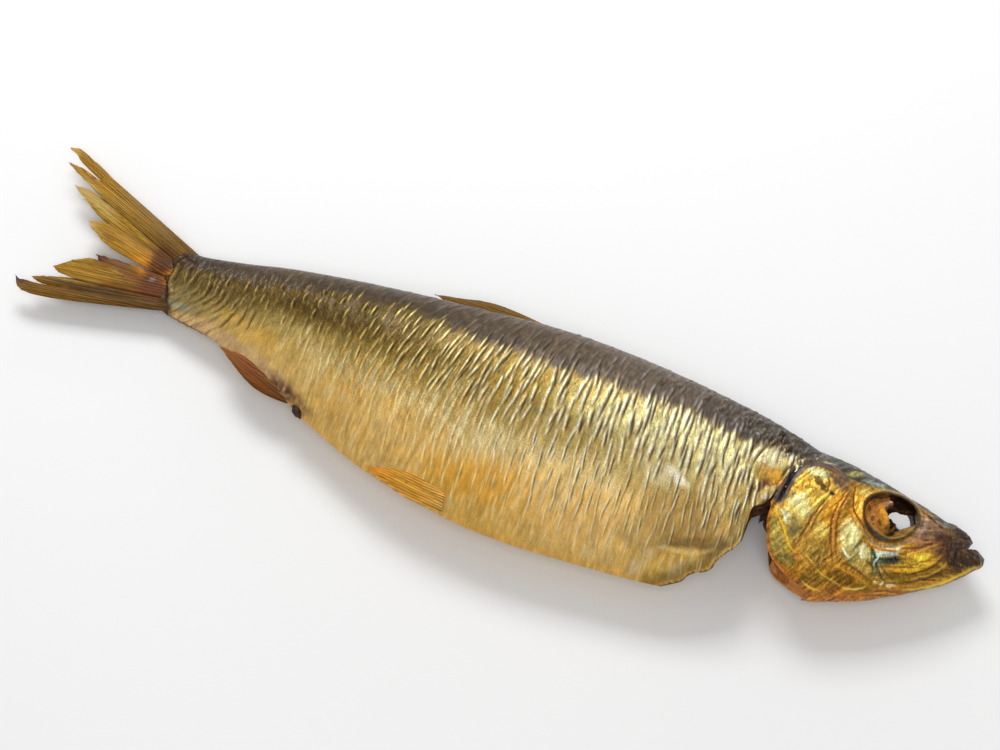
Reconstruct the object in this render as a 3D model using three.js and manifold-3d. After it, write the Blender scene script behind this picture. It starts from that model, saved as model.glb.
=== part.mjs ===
// A whole smoked herring, gutted through a cut at the throat and lying on its left side.
// Millimetres. +X points to the snout, +Y to the back and +Z up. The origin is the middle
// of the underside of the fish's box. The fish is stiff and of one piece, so trunk, head
// and fins are fused into one solid.

import * as THREE from 'three';
import { LoftGeometry } from 'three/addons/geometries/LoftGeometry.js';
import { mergeVertices } from 'three/addons/utils/BufferGeometryUtils.js';
import Module from 'manifold-3d';

const wasm = await Module();
wasm.setup();

// Driving dimensions. A station gives, at x, the y of the back and of the belly's keel, half
// the thickness of the section, and the height of its middle plane above the surface.
const TRUNK_STATIONS = [
  { x: -108, back: 16.0, belly: 1.5, half: 1.0, mid: 6.2 },
  { x: -103, back: 18.0, belly: -1.9, half: 2.6, mid: 6.4 },
  { x: -96, back: 18.4, belly: -3.5, half: 4.1, mid: 6.8 },
  { x: -85, back: 20.2, belly: -5.4, half: 5.6, mid: 7.8 },
  { x: -70, back: 23.1, belly: -10.4, half: 7.8, mid: 9.2 },
  { x: -50, back: 25.7, belly: -19.6, half: 10.5, mid: 10.9 },
  { x: -30, back: 27.8, belly: -27.5, half: 12.7, mid: 12.3 },
  { x: -10, back: 29.9, belly: -31.9, half: 13.9, mid: 13.2 },
  { x: 12, back: 31.8, belly: -34.4, half: 14.3, mid: 13.5 },
  { x: 35, back: 31.9, belly: -33.4, half: 14.1, mid: 13.4 },
  { x: 57, back: 30.2, belly: -31.4, half: 13.3, mid: 13.0 },
  { x: 78, back: 27.6, belly: -27.5, half: 12.0, mid: 12.4 },
  { x: 98, back: 23.0, belly: -22.0, half: 9.6, mid: 11.8 },
];
const HEAD_STATIONS = [
  { x: 80, back: 25.8, belly: -13.0, half: 11.4, mid: 12.3 },
  { x: 90, back: 24.3, belly: -17.6, half: 12.1, mid: 12.0 },
  { x: 100, back: 23.9, belly: -19.9, half: 11.7, mid: 11.7 },
  { x: 110, back: 22.9, belly: -17.3, half: 10.7, mid: 11.4 },
  { x: 120, back: 21.0, belly: -12.9, half: 9.3, mid: 11.1 },
  { x: 130, back: 18.6, belly: -7.1, half: 7.4, mid: 10.8 },
  { x: 138, back: 16.7, belly: -1.4, half: 5.6, mid: 10.5 },
  { x: 142.4, back: 14.9, belly: 2.4, half: 4.2, mid: 10.3 },
  { x: 145.6, back: 12.5, belly: 5.8, half: 2.9, mid: 10.3 },
  { x: 148, back: 10.9, belly: 8.8, half: 1.2, mid: 10.2 },
];

// A section is s^round * (1 - s)^keel thick, s running from the back (0) to the belly (1):
// a half gives a round edge, nearly one a sharp keel.
const TRUNK_SECTION = { round: 0.5, keel: 0.85, points: 36, slices: 50 };
const HEAD_SECTION = { round: 0.52, keel: 0.58, points: 36, slices: 26 };

// The throat cut: the notch between the ends of the belly flaps and the gill covers. The
// knife slanted across the flaps, by flapLean of y for each unit of height. Near the skin
// the notch runs further up, into the gill slits.
const CUT = {
  top: [85.6, 1.2],
  flapEdge: [[62.9, -31.6], [69.1, -26.6], [73.5, -22.0], [78.0, -17.4], [80.2, -10.4], [81.8, -4.0]],
  flapLean: -0.34,
  gillEdge: [[87.3, -2.1], [88.4, -6.4], [89.9, -10.4], [91.8, -12.9], [95.4, -15.1], [102.9, -17.6]],
  slit: [[81.2, -9.0], [82.1, -4.2], [81.9, 0.2], [83.1, 3.6], [86.4, 7.4], [87.2, 1.0], [88.0, -6.0]],
  slitDepth: 6.0,
};

// The rear edge of the gill covers above the cut, which stands proud of the trunk.
const GILL_COVER_EDGE = [[92.5, 24.6], [90.4, 19.5], [88.0, 13.0], [86.4, 6.0], CUT.top];

// The hollows behind the cut, as ellipses: y of the centre, half height and half width.
const BELLY_HOLLOW = [
  { x: 46, y: -13.0, high: 4.0, wide: 1.6 },
  { x: 56, y: -13.0, high: 9.5, wide: 5.2 },
  { x: 68, y: -12.5, high: 12.5, wide: 6.9 },
  { x: 80, y: -11.0, high: 12.0, wide: 7.6 },
  { x: 92, y: -9.5, high: 11.0, wide: 8.0 },
];
const GILL_HOLLOW = [
  { x: 82, y: -7.0, high: 9.5, wide: 8.4 },
  { x: 92, y: -6.5, high: 9.3, wide: 8.6 },
  { x: 100, y: -6.5, high: 7.5, wide: 7.0 },
  { x: 106, y: -5.5, high: 3.2, wide: 3.0 },
];

// The eye sockets meet in one hole through the head; x, y and the half widths at a height z.
const EYE_RINGS = [
  { z: -6.0, x: 119.5, y: 13.4, halfX: 7.6, halfY: 6.6 },
  { z: 4.4, x: 119.5, y: 13.4, halfX: 7.3, halfY: 6.4 },
  { z: 8.6, x: 122.1, y: 13.6, halfX: 4.2, halfY: 3.2 },
  { z: 13.2, x: 122.1, y: 13.6, halfX: 4.2, halfY: 3.2 },
  { z: 17.4, x: 119.5, y: 13.4, halfX: 7.3, halfY: 6.4 },
  { z: 28.0, x: 119.5, y: 13.4, halfX: 7.6, halfY: 6.6 },
];

// The mouth: a thin wedge that opens forward, under the upper lip.
const MOUTH = [[147.0, 14.6], [143.2, 13.1], [139.0, 10.0], [139.3, 9.6], [143.8, 12.3], [147.6, 13.2]];

// Fins are leaves of fused rays. A leaf runs from its root, past the notches that part it
// from its neighbours, to its tip. Of each pair of points the first is nearer the back.
const TAIL_FIN = { thickness: 1.7, tipThickness: 0.7, mid: 6.3 };
const TAIL_LEAVES = [
  { root: [[-97, 17.4], [-102, 15.4]], notches: [[-141.4, 35.1], [-138.4, 30.6]], tip: [-150.6, 37.3] },
  { root: [[-100, 17.2], [-103, 13.0]], notches: [[-138.5, 30.5], [-134.4, 25.1]], tip: [-149.2, 32.4] },
  { root: [[-102, 15.0], [-104, 10.6]], notches: [[-134.2, 25.2], [-129.4, 17.8]], tip: [-144.4, 26.2] },
  { root: [[-103, 12.4], [-105, 8.0]], notches: [[-126.6, 17.9], [-125.4, 11.0]], tip: [-135.4, 16.7] },
  { root: [[-105, 8.8], [-103, 5.0]], notches: [[-116.0, 8.6], [-122.8, 4.6]], tip: [-128.8, 7.7] },
  { root: [[-103, 6.6], [-101, 2.0]], notches: [[-129.0, 5.4], [-131.2, -2.0]], tip: [-139.2, -0.6] },
  { root: [[-101, 3.6], [-98, 0.0]], notches: [[-132.2, -1.9], [-136.4, -6.4]], tip: [-143.8, -5.7] },
  { root: [[-99, 1.6], [-95, -0.2]], notches: [[-140.4, -7.0], [-139.4, -10.9]], tip: [-148.5, -7.2] },
];
const DORSAL_FIN = { thickness: 2.2, tipThickness: 0.8, mid: 13.2 };
const DORSAL_LEAF = { root: [[12, 31.5], [10, 29.4]], notches: [[-9, 33.1], [-12, 27.4]], tip: [-27.6, 29.4] };
const ANAL_FIN = { thickness: 1.9, tipThickness: 0.7, mid: 10.2 };
const ANAL_LEAF = { root: [[-53, -14.6], [-53, -17.0]], notches: [[-67, -8.4], [-67.2, -15.7]], tip: [-81.6, -7.3] };
const PELVIC_FIN = { thickness: 1.6, tipThickness: 0.8, lift: 0.25 };
const PELVIC_LEAF = { root: [[-2, -27.8], [-1, -32.4]], notches: [[-14, -25.6], [-12.6, -31.8]], tip: [-26.2, -27.4] };
const VENT = { x: -52.0, y: -18.1, mid: 10.8, radius: 1.8 };

// Prisms that cut the fish reach this far, and lean and skew about the middle height.
const PRISM = { low: -8, high: 36, middle: 12.6, reach: 50, skew: 0.4 };

// The stations above are measured from the middle of the trunk; this moves the middle of
// the box's underside to the origin.
const PLACE = { x: 1.05, y: -1.43 };

const SKIN_COLOR = 0xa98545;
const EPSILON = 1e-6;

// A smooth curve through [x, value] knots, each knot with the slope of its neighbours' chord.
function smoothCurve(knots) {
  const slopes = knots.map((knot, i) => {
    const before = knots[Math.max(i - 1, 0)];
    const after = knots[Math.min(i + 1, knots.length - 1)];
    return (after[1] - before[1]) / (after[0] - before[0]);
  });
  return (x) => {
    let i = 0;
    while (i < knots.length - 2 && x > knots[i + 1][0]) i += 1;
    const span = knots[i + 1][0] - knots[i][0];
    const t = THREE.MathUtils.clamp((x - knots[i][0]) / span, 0, 1);
    const blend = t * t * (3 - 2 * t);
    const leave = t * (1 - t) * (1 - t) * span * slopes[i];
    const arrive = t * t * (t - 1) * span * slopes[i + 1];
    return THREE.MathUtils.lerp(knots[i][1], knots[i + 1][1], blend) + leave + arrive;
  };
}

function profileOf(stations) {
  const along = (key) => smoothCurve(stations.map((station) => [station.x, station[key]]));
  return { back: along('back'), belly: along('belly'), half: along('half'), mid: along('mid') };
}

const trunk = profileOf(TRUNK_STATIONS);
const head = profileOf(HEAD_STATIONS);

// How thick a section is at s, as a share of its greatest thickness.
function swell(s, section) {
  const widest = section.round / (section.round + section.keel);
  const inside = THREE.MathUtils.clamp(s, 0, 1);
  return (inside / widest) ** section.round * ((1 - inside) / (1 - widest)) ** section.keel;
}

// Turns a closed geometry into a manifold solid.
function solid(geometry) {
  const bare = new THREE.BufferGeometry();
  bare.setIndex(geometry.index);
  bare.setAttribute('position', geometry.attributes.position);
  const merged = mergeVertices(bare, EPSILON);
  const mesh = new wasm.Mesh({
    numProp: 3,
    vertProperties: merged.attributes.position.array,
    triVerts: new Uint32Array(merged.index.array),
  });
  return new wasm.Manifold(mesh);
}

function loft(sections) {
  return solid(new LoftGeometry(sections, { capStart: true, capEnd: true }));
}

// Steps from start to end that crowd towards both ends, where the form turns fastest.
function easedSteps(start, end, count) {
  return Array.from({ length: count + 1 }, (_, i) => {
    const t = i / count;
    const eased = 0.5 * t + 0.5 * (1 - Math.cos(Math.PI * t)) / 2;
    return THREE.MathUtils.lerp(start, end, eased);
  });
}

// One cross-section of the fish: from the back over the upper flank to the keel and around.
function fishSection(profile, section, x) {
  return Array.from({ length: section.points }, (_, i) => {
    const angle = (2 * Math.PI * i) / section.points;
    const s = (1 - Math.cos(angle)) / 2;
    const y = THREE.MathUtils.lerp(profile.back(x), profile.belly(x), s);
    const z = profile.mid(x) + Math.sign(Math.sin(angle)) * profile.half(x) * swell(s, section);
    return new THREE.Vector3(x, y, z);
  });
}

function fishLoft(profile, stations, section) {
  const steps = easedSteps(stations[0].x, stations.at(-1).x, section.slices);
  return loft(steps.map((x) => fishSection(profile, section, x)));
}

// A prism with the given outline in x and y. With a lean, a point slides by that much of y
// for each unit of height above the middle of the throat.
function prism(outline, { low = PRISM.low, high = PRISM.high, lean = 0 } = {}) {
  const shape = new THREE.Shape(outline.map(([x, y]) => new THREE.Vector2(x, y)));
  const geometry = new THREE.ExtrudeGeometry(shape, { depth: high - low, bevelEnabled: false });
  geometry.translate(0, 0, low);
  const position = geometry.attributes.position;
  for (let i = 0; i < position.count; i += 1) {
    const slide = lean * (position.getZ(i) - PRISM.middle);
    position.setXY(i, position.getX(i) - PRISM.skew * slide, position.getY(i) + slide);
  }
  return solid(geometry);
}

function throatCut() {
  const deep = PRISM.reach;
  const [topX, topY] = CUT.top;
  const underFlaps = [[topX + 5, -deep], [CUT.flapEdge[0][0] - 2, -deep]];
  const underGills = [[CUT.gillEdge.at(-1)[0], -deep], [topX - 3, -deep], [topX - 3, topY - 2.6]];
  return [
    prism([...CUT.flapEdge, CUT.top, ...underFlaps], { lean: CUT.flapLean }),
    prism([CUT.top, ...CUT.gillEdge, ...underGills]),
    prism(CUT.slit, { low: PRISM.middle + CUT.slitDepth }),
    prism(CUT.slit, { high: PRISM.middle - CUT.slitDepth }),
  ].reduce((sum, piece) => sum.add(piece));
}

function behindGillCovers() {
  const deep = PRISM.reach;
  return prism([...GILL_COVER_EDGE, [CUT.top[0], -deep], [70, -deep], [70, deep], [GILL_COVER_EDGE[0][0], deep]]);
}

// A hollow as a loft of ellipses along the fish.
function hollow(rings, profile) {
  const sides = 20;
  return loft(rings.map(({ x, y, high, wide }) => (
    Array.from({ length: sides }, (_, i) => {
      const angle = (2 * Math.PI * i) / sides;
      return new THREE.Vector3(x, y + high * Math.cos(angle), profile.mid(x) + wide * Math.sin(angle));
    })
  )));
}

// The two eye sockets, as a loft of ellipses that rises through the head.
function eyeHole() {
  const sides = 24;
  return loft(EYE_RINGS.map(({ z, x, y, halfX, halfY }) => (
    Array.from({ length: sides }, (_, i) => {
      const angle = (2 * Math.PI * i) / sides;
      return new THREE.Vector3(x + halfX * Math.cos(angle), y + halfY * Math.sin(angle), z);
    })
  )));
}

function leafEdge(root, notch, tip) {
  return new THREE.SplineCurve([root, notch, tip].map(([x, y]) => new THREE.Vector2(x, y)));
}

// One leaf of a fin: a thin loft from root to tip, lens-shaped across. height(x, y) is the
// height of its middle.
function finLeaf({ root, notches, tip }, { thickness, tipThickness }, height) {
  const steps = 9;
  const across = 4;
  const upper = leafEdge(root[0], notches[0], tip);
  const lower = leafEdge(root[1], notches[1], tip);
  const sections = Array.from({ length: steps + 1 }, (_, k) => {
    const t = 0.94 * k / steps;
    const halfThickness = THREE.MathUtils.lerp(thickness, tipThickness, t) / 2;
    const from = upper.getPoint(t);
    const to = lower.getPoint(t);
    const side = (sign) => Array.from({ length: across + 1 }, (_, j) => {
      const v = j / across;
      const point = from.clone().lerp(to, v);
      const bulge = 0.35 + 0.65 * Math.sin(Math.PI * v);
      return new THREE.Vector3(point.x, point.y, height(point.x, point.y) + sign * halfThickness * bulge);
    });
    return [...side(-1), ...side(1).reverse()];
  });
  return loft(sections);
}

function tailFin() {
  return TAIL_LEAVES.map((leaf) => finLeaf(leaf, TAIL_FIN, () => TAIL_FIN.mid));
}

// The pelvic fins lie pressed to the flanks, just above the keel.
function pelvicFins() {
  const flank = (side) => (x, y) => {
    const s = (trunk.back(x) - y) / (trunk.back(x) - trunk.belly(x));
    return trunk.mid(x) + side * (trunk.half(x) * swell(s, TRUNK_SECTION) + PELVIC_FIN.lift);
  };
  return [1, -1].map((side) => finLeaf(PELVIC_LEAF, PELVIC_FIN, flank(side)));
}

function vent() {
  const geometry = new THREE.SphereGeometry(VENT.radius, 12, 8);
  geometry.translate(VENT.x, VENT.y, VENT.mid);
  return solid(geometry);
}

function fins() {
  return [
    ...tailFin(),
    finLeaf(DORSAL_LEAF, DORSAL_FIN, () => DORSAL_FIN.mid),
    finLeaf(ANAL_LEAF, ANAL_FIN, () => ANAL_FIN.mid),
    ...pelvicFins(),
  ];
}

// The plane that the fish lies on, as a block under it.
function surfaceBlock() {
  const geometry = new THREE.BoxGeometry(400, 200, 20);
  geometry.translate(0, 0, -10);
  return solid(geometry);
}

function fishSolid() {
  const body = fishLoft(trunk, TRUNK_STATIONS, TRUNK_SECTION);
  const skull = fishLoft(head, HEAD_STATIONS, HEAD_SECTION).subtract(behindGillCovers());
  const whole = [skull, vent(), ...fins()].reduce((sum, piece) => sum.add(piece), body);
  const cuts = [
    throatCut(),
    hollow(BELLY_HOLLOW, trunk),
    hollow(GILL_HOLLOW, head),
    eyeHole(),
    prism(MOUTH),
    surfaceBlock(),
  ];
  return cuts.reduce((rest, piece) => rest.subtract(piece), whole);
}

function meshFrom(manifold, name, material) {
  const { vertProperties, triVerts } = manifold.getMesh();
  const geometry = new THREE.BufferGeometry();
  geometry.setAttribute('position', new THREE.BufferAttribute(vertProperties, 3));
  geometry.setIndex(new THREE.BufferAttribute(triVerts, 1));
  geometry.computeVertexNormals();
  const mesh = new THREE.Mesh(geometry, material);
  mesh.name = name;
  mesh.position.set(PLACE.x, PLACE.y, 0);
  return mesh;
}

const smokedSkin = new THREE.MeshStandardMaterial({ color: SKIN_COLOR, roughness: 0.42, metalness: 0.35 });

const group = new THREE.Group();
group.add(meshFrom(fishSolid(), 'fish', smokedSkin));

export default group;
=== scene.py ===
"""A smoked herring on a pale table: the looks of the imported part.

Shapes are worked out in millimetres, in the fish's own frame: x runs from the tail to the snout, y from
the keel to the back, z up out of the right flank. PLACE moves them to the row frame, in metres.
"""

import math

import bmesh
import bpy
import numpy as np
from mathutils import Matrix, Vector, kdtree


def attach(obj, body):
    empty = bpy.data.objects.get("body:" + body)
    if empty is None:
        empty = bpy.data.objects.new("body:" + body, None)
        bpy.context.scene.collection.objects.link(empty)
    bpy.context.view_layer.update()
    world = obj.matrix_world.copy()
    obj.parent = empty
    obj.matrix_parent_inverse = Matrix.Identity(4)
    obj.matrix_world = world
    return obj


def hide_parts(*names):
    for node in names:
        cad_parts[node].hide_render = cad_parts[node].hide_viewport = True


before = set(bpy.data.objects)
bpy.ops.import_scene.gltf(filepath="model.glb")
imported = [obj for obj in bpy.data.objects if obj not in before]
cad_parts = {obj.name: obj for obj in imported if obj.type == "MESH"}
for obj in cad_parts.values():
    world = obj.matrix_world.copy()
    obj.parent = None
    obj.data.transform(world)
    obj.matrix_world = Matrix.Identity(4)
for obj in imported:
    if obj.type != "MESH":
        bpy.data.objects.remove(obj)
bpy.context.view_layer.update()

MM = 0.001
PLACE = np.array([1.05, -1.43, 0.0])
NODE = "fish"

# ---------------------------------------------------------------- the form, as in the CAD part
# Cross-sections: how far the back and the keel lie, half the thickness and the height of the middle.
TRUNK_STATIONS = {
    "x": [-108, -103, -96, -85, -70, -50, -30, -10, 12, 35, 57, 78, 98],
    "back": [16.0, 18.0, 18.4, 20.2, 23.1, 25.7, 27.8, 29.9, 31.8, 31.9, 30.2, 27.6, 23.0],
    "belly": [1.5, -1.9, -3.5, -5.4, -10.4, -19.6, -27.5, -31.9, -34.4, -33.4, -31.4, -27.5, -22.0],
    "half": [1.0, 2.6, 4.1, 5.6, 7.8, 10.5, 12.7, 13.9, 14.3, 14.1, 13.3, 12.0, 9.6],
    "mid": [6.2, 6.4, 6.8, 7.8, 9.2, 10.9, 12.3, 13.2, 13.5, 13.4, 13.0, 12.4, 11.8],
}
HEAD_STATIONS = {
    "x": [80, 90, 100, 110, 120, 130, 138, 142.4, 145.6, 148],
    "back": [25.8, 24.3, 23.9, 22.9, 21.0, 18.6, 16.7, 14.9, 12.5, 10.9],
    "belly": [-13.0, -17.6, -19.9, -17.3, -12.9, -7.1, -1.4, 2.4, 5.8, 8.8],
    "half": [11.4, 12.1, 11.7, 10.7, 9.3, 7.4, 5.6, 4.2, 2.9, 1.2],
    "mid": [12.3, 12.0, 11.7, 11.4, 11.1, 10.8, 10.5, 10.3, 10.3, 10.2],
}
# A section is s^round * (1 - s)^keel thick, s running from the back (0) to the keel (1).
TRUNK_SECTION = {"round": 0.5, "keel": 0.85}
HEAD_SECTION = {"round": 0.52, "keel": 0.58}

CUT_TOP = (85.6, 1.2)
# The flaps' edge is the solid's own, but for tears of less than 2 mm.
FLAP_EDGE = [(62.9, -31.4), (67.1, -28.4), (69.3, -26.8), (70.6, -24.2), (71.8, -23.0), (74.8, -21.3),
             (75.8, -20.0), (76.1, -17.4), (78.2, -13.8), (79.8, -11.4), (80.7, -9.0), (81.3, -5.5),
             (82.2, -2.2)]
FLAP_LEAN = -0.34
GILL_EDGE = [(87.3, -2.1), (88.4, -6.4), (89.9, -10.4), (91.8, -12.9), (95.4, -15.1), (102.9, -17.6)]
SLIT = [(81.4, -9.0), (81.8, -5.0), (83.0, -2.4), (84.2, 0.2), (85.4, 2.8), (86.4, 6.4), (87.2, 1.0),
        (88.0, -6.0)]
SLIT_DEPTH = 8.0
# How far the gill covers' rear edges lean back for each mm up, between these heights.
GILL_SPLAY, GILL_SPLAY_SPAN = 0.14, (-16.0, -10.0, -3.0, 1.0)
GILL_COVER_EDGE = [(92.5, 24.6), (90.4, 19.5), (88.0, 13.0), (86.4, 6.0), CUT_TOP]
# Hollows: x, the middle's y, and half the height and the width at each station.
BELLY_HOLLOW = [(46, -13.0, 4.0, 1.6), (56, -13.0, 9.5, 5.2), (68, -12.5, 12.5, 6.9), (80, -11.0, 12.0, 7.6),
                (92, -9.5, 11.0, 8.0)]
GILL_HOLLOW = [(82, -7.0, 9.5, 8.4), (92, -6.5, 9.3, 8.6), (100, -6.5, 7.5, 7.0), (106, -5.5, 3.2, 3.0)]
MOUTH = [(148.5, 17.0), (143.4, 14.2), (142.9, 12.6), (140.2, 10.2), (140.5, 9.6), (143.2, 11.2),
         (145.2, 12.2), (149.0, 12.6)]
# The cut's blocks: the heights they run between, the one at which they don't lean, how far off they reach,
# and how far towards the tail they slide for each mm that they lean.
PRISM_LOW, PRISM_HIGH, PRISM_MIDDLE, PRISM_REACH, PRISM_SKEW = -8.0, 36.0, 12.6, 50.0, 0.4

# Fins: the height of the middle, the thickness at the root and at the tip, and the leaves. A leaf's row
# holds its root's two corners, a place on each edge, and its tip.
TAIL_MID, TAIL_THICKNESS = 6.3, (1.5, 0.5)
TAIL_LEAVES = [
    ((-97, 17.4), (-102, 15.4), (-141.4, 35.1), (-138.4, 30.6), (-150.4, 37.3)),
    ((-100, 17.2), (-103, 13.0), (-138.5, 30.5), (-134.4, 25.1), (-149.2, 32.4)),
    ((-102, 15.0), (-104, 10.6), (-134.2, 25.2), (-129.4, 17.8), (-144.4, 26.2)),
    ((-103, 12.4), (-105, 8.0), (-126.6, 17.9), (-125.4, 11.0), (-135.4, 16.7)),
    ((-105, 8.8), (-103, 5.0), (-116.0, 8.6), (-122.8, 4.6), (-128.8, 7.7)),
    ((-103, 6.6), (-101, 2.0), (-129.0, 5.4), (-131.2, -2.0), (-139.2, -0.6)),
    ((-101, 3.6), (-98, 0.0), (-132.2, -1.9), (-136.4, -6.4), (-143.8, -5.7)),
    ((-99, 1.6), (-95, -0.2), (-140.4, -7.0), (-139.4, -10.9), (-148.5, -7.2)),
]
RAY_PITCH = 0.95
DORSAL_MID, DORSAL_THICKNESS = 13.2, (2.2, 0.8)
DORSAL_LEAF = ((12, 31.5), (10, 29.4), (-9, 33.1), (-12, 27.4), (-27.6, 29.4))
ANAL_MID, ANAL_THICKNESS = 10.2, (1.9, 0.7)
ANAL_LEAF = ((-53, -14.6), (-53, -17.0), (-67, -8.4), (-67.2, -15.7), (-81.6, -7.3))
PELVIC_THICKNESS, PELVIC_LIFT = (1.6, 0.8), 0.25
PELVIC_LEAF = ((-2, -27.8), (-1, -32.4), (-14, -25.6), (-12.6, -31.8), (-26.2, -27.4))
VENT, VENT_RADIUS = (-52.0, -18.1, 10.8), 1.8
VENT_LEAN, VENT_STRETCH = -38, (1.25, 0.72)

# ---------------------------------------------------------------- how fine the meshes are
# Columns run round the body; under it every third one is kept. They are closer than the rows, as the
# scale pockets run along them.
TRUNK_COLUMNS, TRUNK_UPPER_ROWS, TRUNK_LOWER_ROWS = 826, 92, 54
HEAD_COLUMNS, HEAD_UPPER_ROWS, HEAD_LOWER_ROWS = 313, 176, 60
COARSER_BELOW = 3
# Leaning columns keep their place at this share of the depth, and stand upright this near the ends.
UPRIGHT_SHARE, UPRIGHT_END = 0.3, 16
CANVAS_PITCH = 0.16
# How many points a fin's leaf has along it, and how many faces across.
LEAF_FINENESS, SLIP_FINENESS = (120, 44), (60, 14)
# How many points lie round the socket, a hollow and the vent, and how many rings the vent has.
SOCKET_COUNT, HOLLOW_COUNT = 150, 72
VENT_COUNT, VENT_RINGS = 48, 28
# The skin's least height over the table, how fine a cut's walls are, and the angle of a sharp edge.
TABLE_GAP = 0.02
WALL_PITCH = 0.8
SHARP_ANGLE = 62
# How far from a line its distance is still worked out.
LINE_REACH = 5.0

# ---------------------------------------------------------------- the camera
CAMERA_AZIMUTH, CAMERA_ELEVATION = 21.0, 70.0
CAMERA_TARGET = (0.00045, 0.01137, 0.013)
CAMERA_DISTANCE, CAMERA_LENS, CAMERA_SENSOR = 0.6894, 85.0, 36.0


# ================================================================ numbers and curves
def smooth_curve(xs, values):
    """A smooth curve through its knots, each knot with the slope of its neighbours' chord."""
    xs = np.array(xs, float)
    values = np.array(values, float)
    before = np.maximum(np.arange(len(xs)) - 1, 0)
    after = np.minimum(np.arange(len(xs)) + 1, len(xs) - 1)
    slopes = (values[after] - values[before]) / (xs[after] - xs[before])

    def value(x):
        i = np.clip(np.searchsorted(xs, x) - 1, 0, len(xs) - 2)
        span = xs[i + 1] - xs[i]
        t = np.clip((x - xs[i]) / span, 0, 1)
        blend = t * t * (3 - 2 * t)
        leave = t * (1 - t) ** 2 * span * slopes[i]
        arrive = t * t * (t - 1) * span * slopes[i + 1]
        return values[i] + (values[i + 1] - values[i]) * blend + leave + arrive

    return value


def way_along(points):
    """How far along a line each of its points lies."""
    return np.concatenate([[0], np.cumsum(np.linalg.norm(np.diff(points, axis=0), axis=1))])


def smooth_path(points, count):
    """count points on a smooth line through the given ones."""
    points = np.array(points, float)
    reach = way_along(points)
    steps = np.linspace(0, reach[-1], count)
    return np.stack([smooth_curve(reach, values)(steps) for values in points.T], axis=1)


def closed_path(points, count, overlap=3, fineness=40):
    """count points on a smooth closed line through the given ones, which overlap to make it smooth."""
    longer = [*points[-overlap:], *points, *points[:overlap + 1]]
    path = smooth_path(longer, fineness * len(longer))
    reach = way_along(path)
    knots = np.linalg.norm(np.diff(np.array(longer, float), axis=0), axis=1)
    start = knots[:overlap].sum() / knots.sum() * reach[-1]
    stop = knots[:-overlap].sum() / knots.sum() * reach[-1]
    steps = np.linspace(start, stop, count, endpoint=False)
    return np.stack([np.interp(steps, reach, values) for values in path.T], axis=1)


def through(points, value):
    """What a line of straight stretches through the points says at a value."""
    return np.interp(value, *zip(*points))


def ramp(value, low, high):
    """0 below low, 1 above high and a smooth rise between them; low may lie above high."""
    t = np.clip((value - low) / (high - low), 0, 1)
    return t * t * (3 - 2 * t)


def band(value, low, high, soft):
    """1 between low and high, with soft edges."""
    return ramp(value, low - soft, low + soft) * (1 - ramp(value, high - soft, high + soft))


def bell(distance, width=1.0):
    """1 at no distance, and nearly 0 two widths away."""
    return np.exp(-((distance / width) ** 2))


def mix(first, second, share):
    return first + (second - first) * share


class Grain:
    """Smooth random values over a plane, from -1 to 1, with features about 1 across."""

    SIZE = 128

    def __init__(self, seed):
        self.table = np.random.default_rng(seed).uniform(-1, 1, (self.SIZE, self.SIZE))

    def __call__(self, u, v):
        iu = np.floor(u).astype(int)
        iv = np.floor(v).astype(int)
        a, b = (self.table[(iu + k) % self.SIZE, iv % self.SIZE] for k in (0, 1))
        c, d = (self.table[(iu + k) % self.SIZE, (iv + 1) % self.SIZE] for k in (0, 1))
        share = ramp(u - iu, 0, 1)
        return mix(mix(a, b, share), mix(c, d, share), ramp(v - iv, 0, 1))

    def rough(self, u, v, octaves=4):
        """Several sizes of grain, each half as large and half as strong as the last."""
        total = np.zeros(np.broadcast(u, v).shape)
        for k in range(octaves):
            total += self(u * 2**k + 17.3 * k, v * 2**k - 9.1 * k) / 2**k
        return total / (2 - 2 ** (1 - octaves))


def blob(x, y, centre, size, turn=0.0, soft=0.5):
    """1 inside an ellipse with these half sizes, fading to 0 across its edge."""
    angle = math.radians(turn)
    across = (x - centre[0]) * math.cos(angle) + (y - centre[1]) * math.sin(angle)
    down = (y - centre[1]) * math.cos(angle) - (x - centre[0]) * math.sin(angle)
    return 1 - ramp(np.hypot(across / size[0], down / size[1]), 1 - soft, 1 + soft)


def near_line(x, y, points, count=70):
    """The distance to a smooth line, how far along it the nearest spot is, and on which side it lies."""
    path = smooth_path(points, count)
    low = path.min(0) - LINE_REACH
    high = path.max(0) + LINE_REACH
    near = (x > low[0]) & (x < high[0]) & (y > low[1]) & (y < high[1])
    distance = np.full(x.shape, LINE_REACH * 2)
    along = np.zeros(x.shape)
    side = np.ones(x.shape)
    dx = x[near][:, None] - path[:, 0]
    dy = y[near][:, None] - path[:, 1]
    gap = np.hypot(dx, dy)
    nearest = gap.argmin(1)
    heading = np.gradient(path, axis=0)[nearest]
    rows = np.arange(len(nearest))
    distance[near] = gap[rows, nearest]
    along[near] = nearest / (count - 1)
    side[near] = np.sign(heading[:, 0] * dy[rows, nearest] - heading[:, 1] * dx[rows, nearest])
    return distance, along, side


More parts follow.
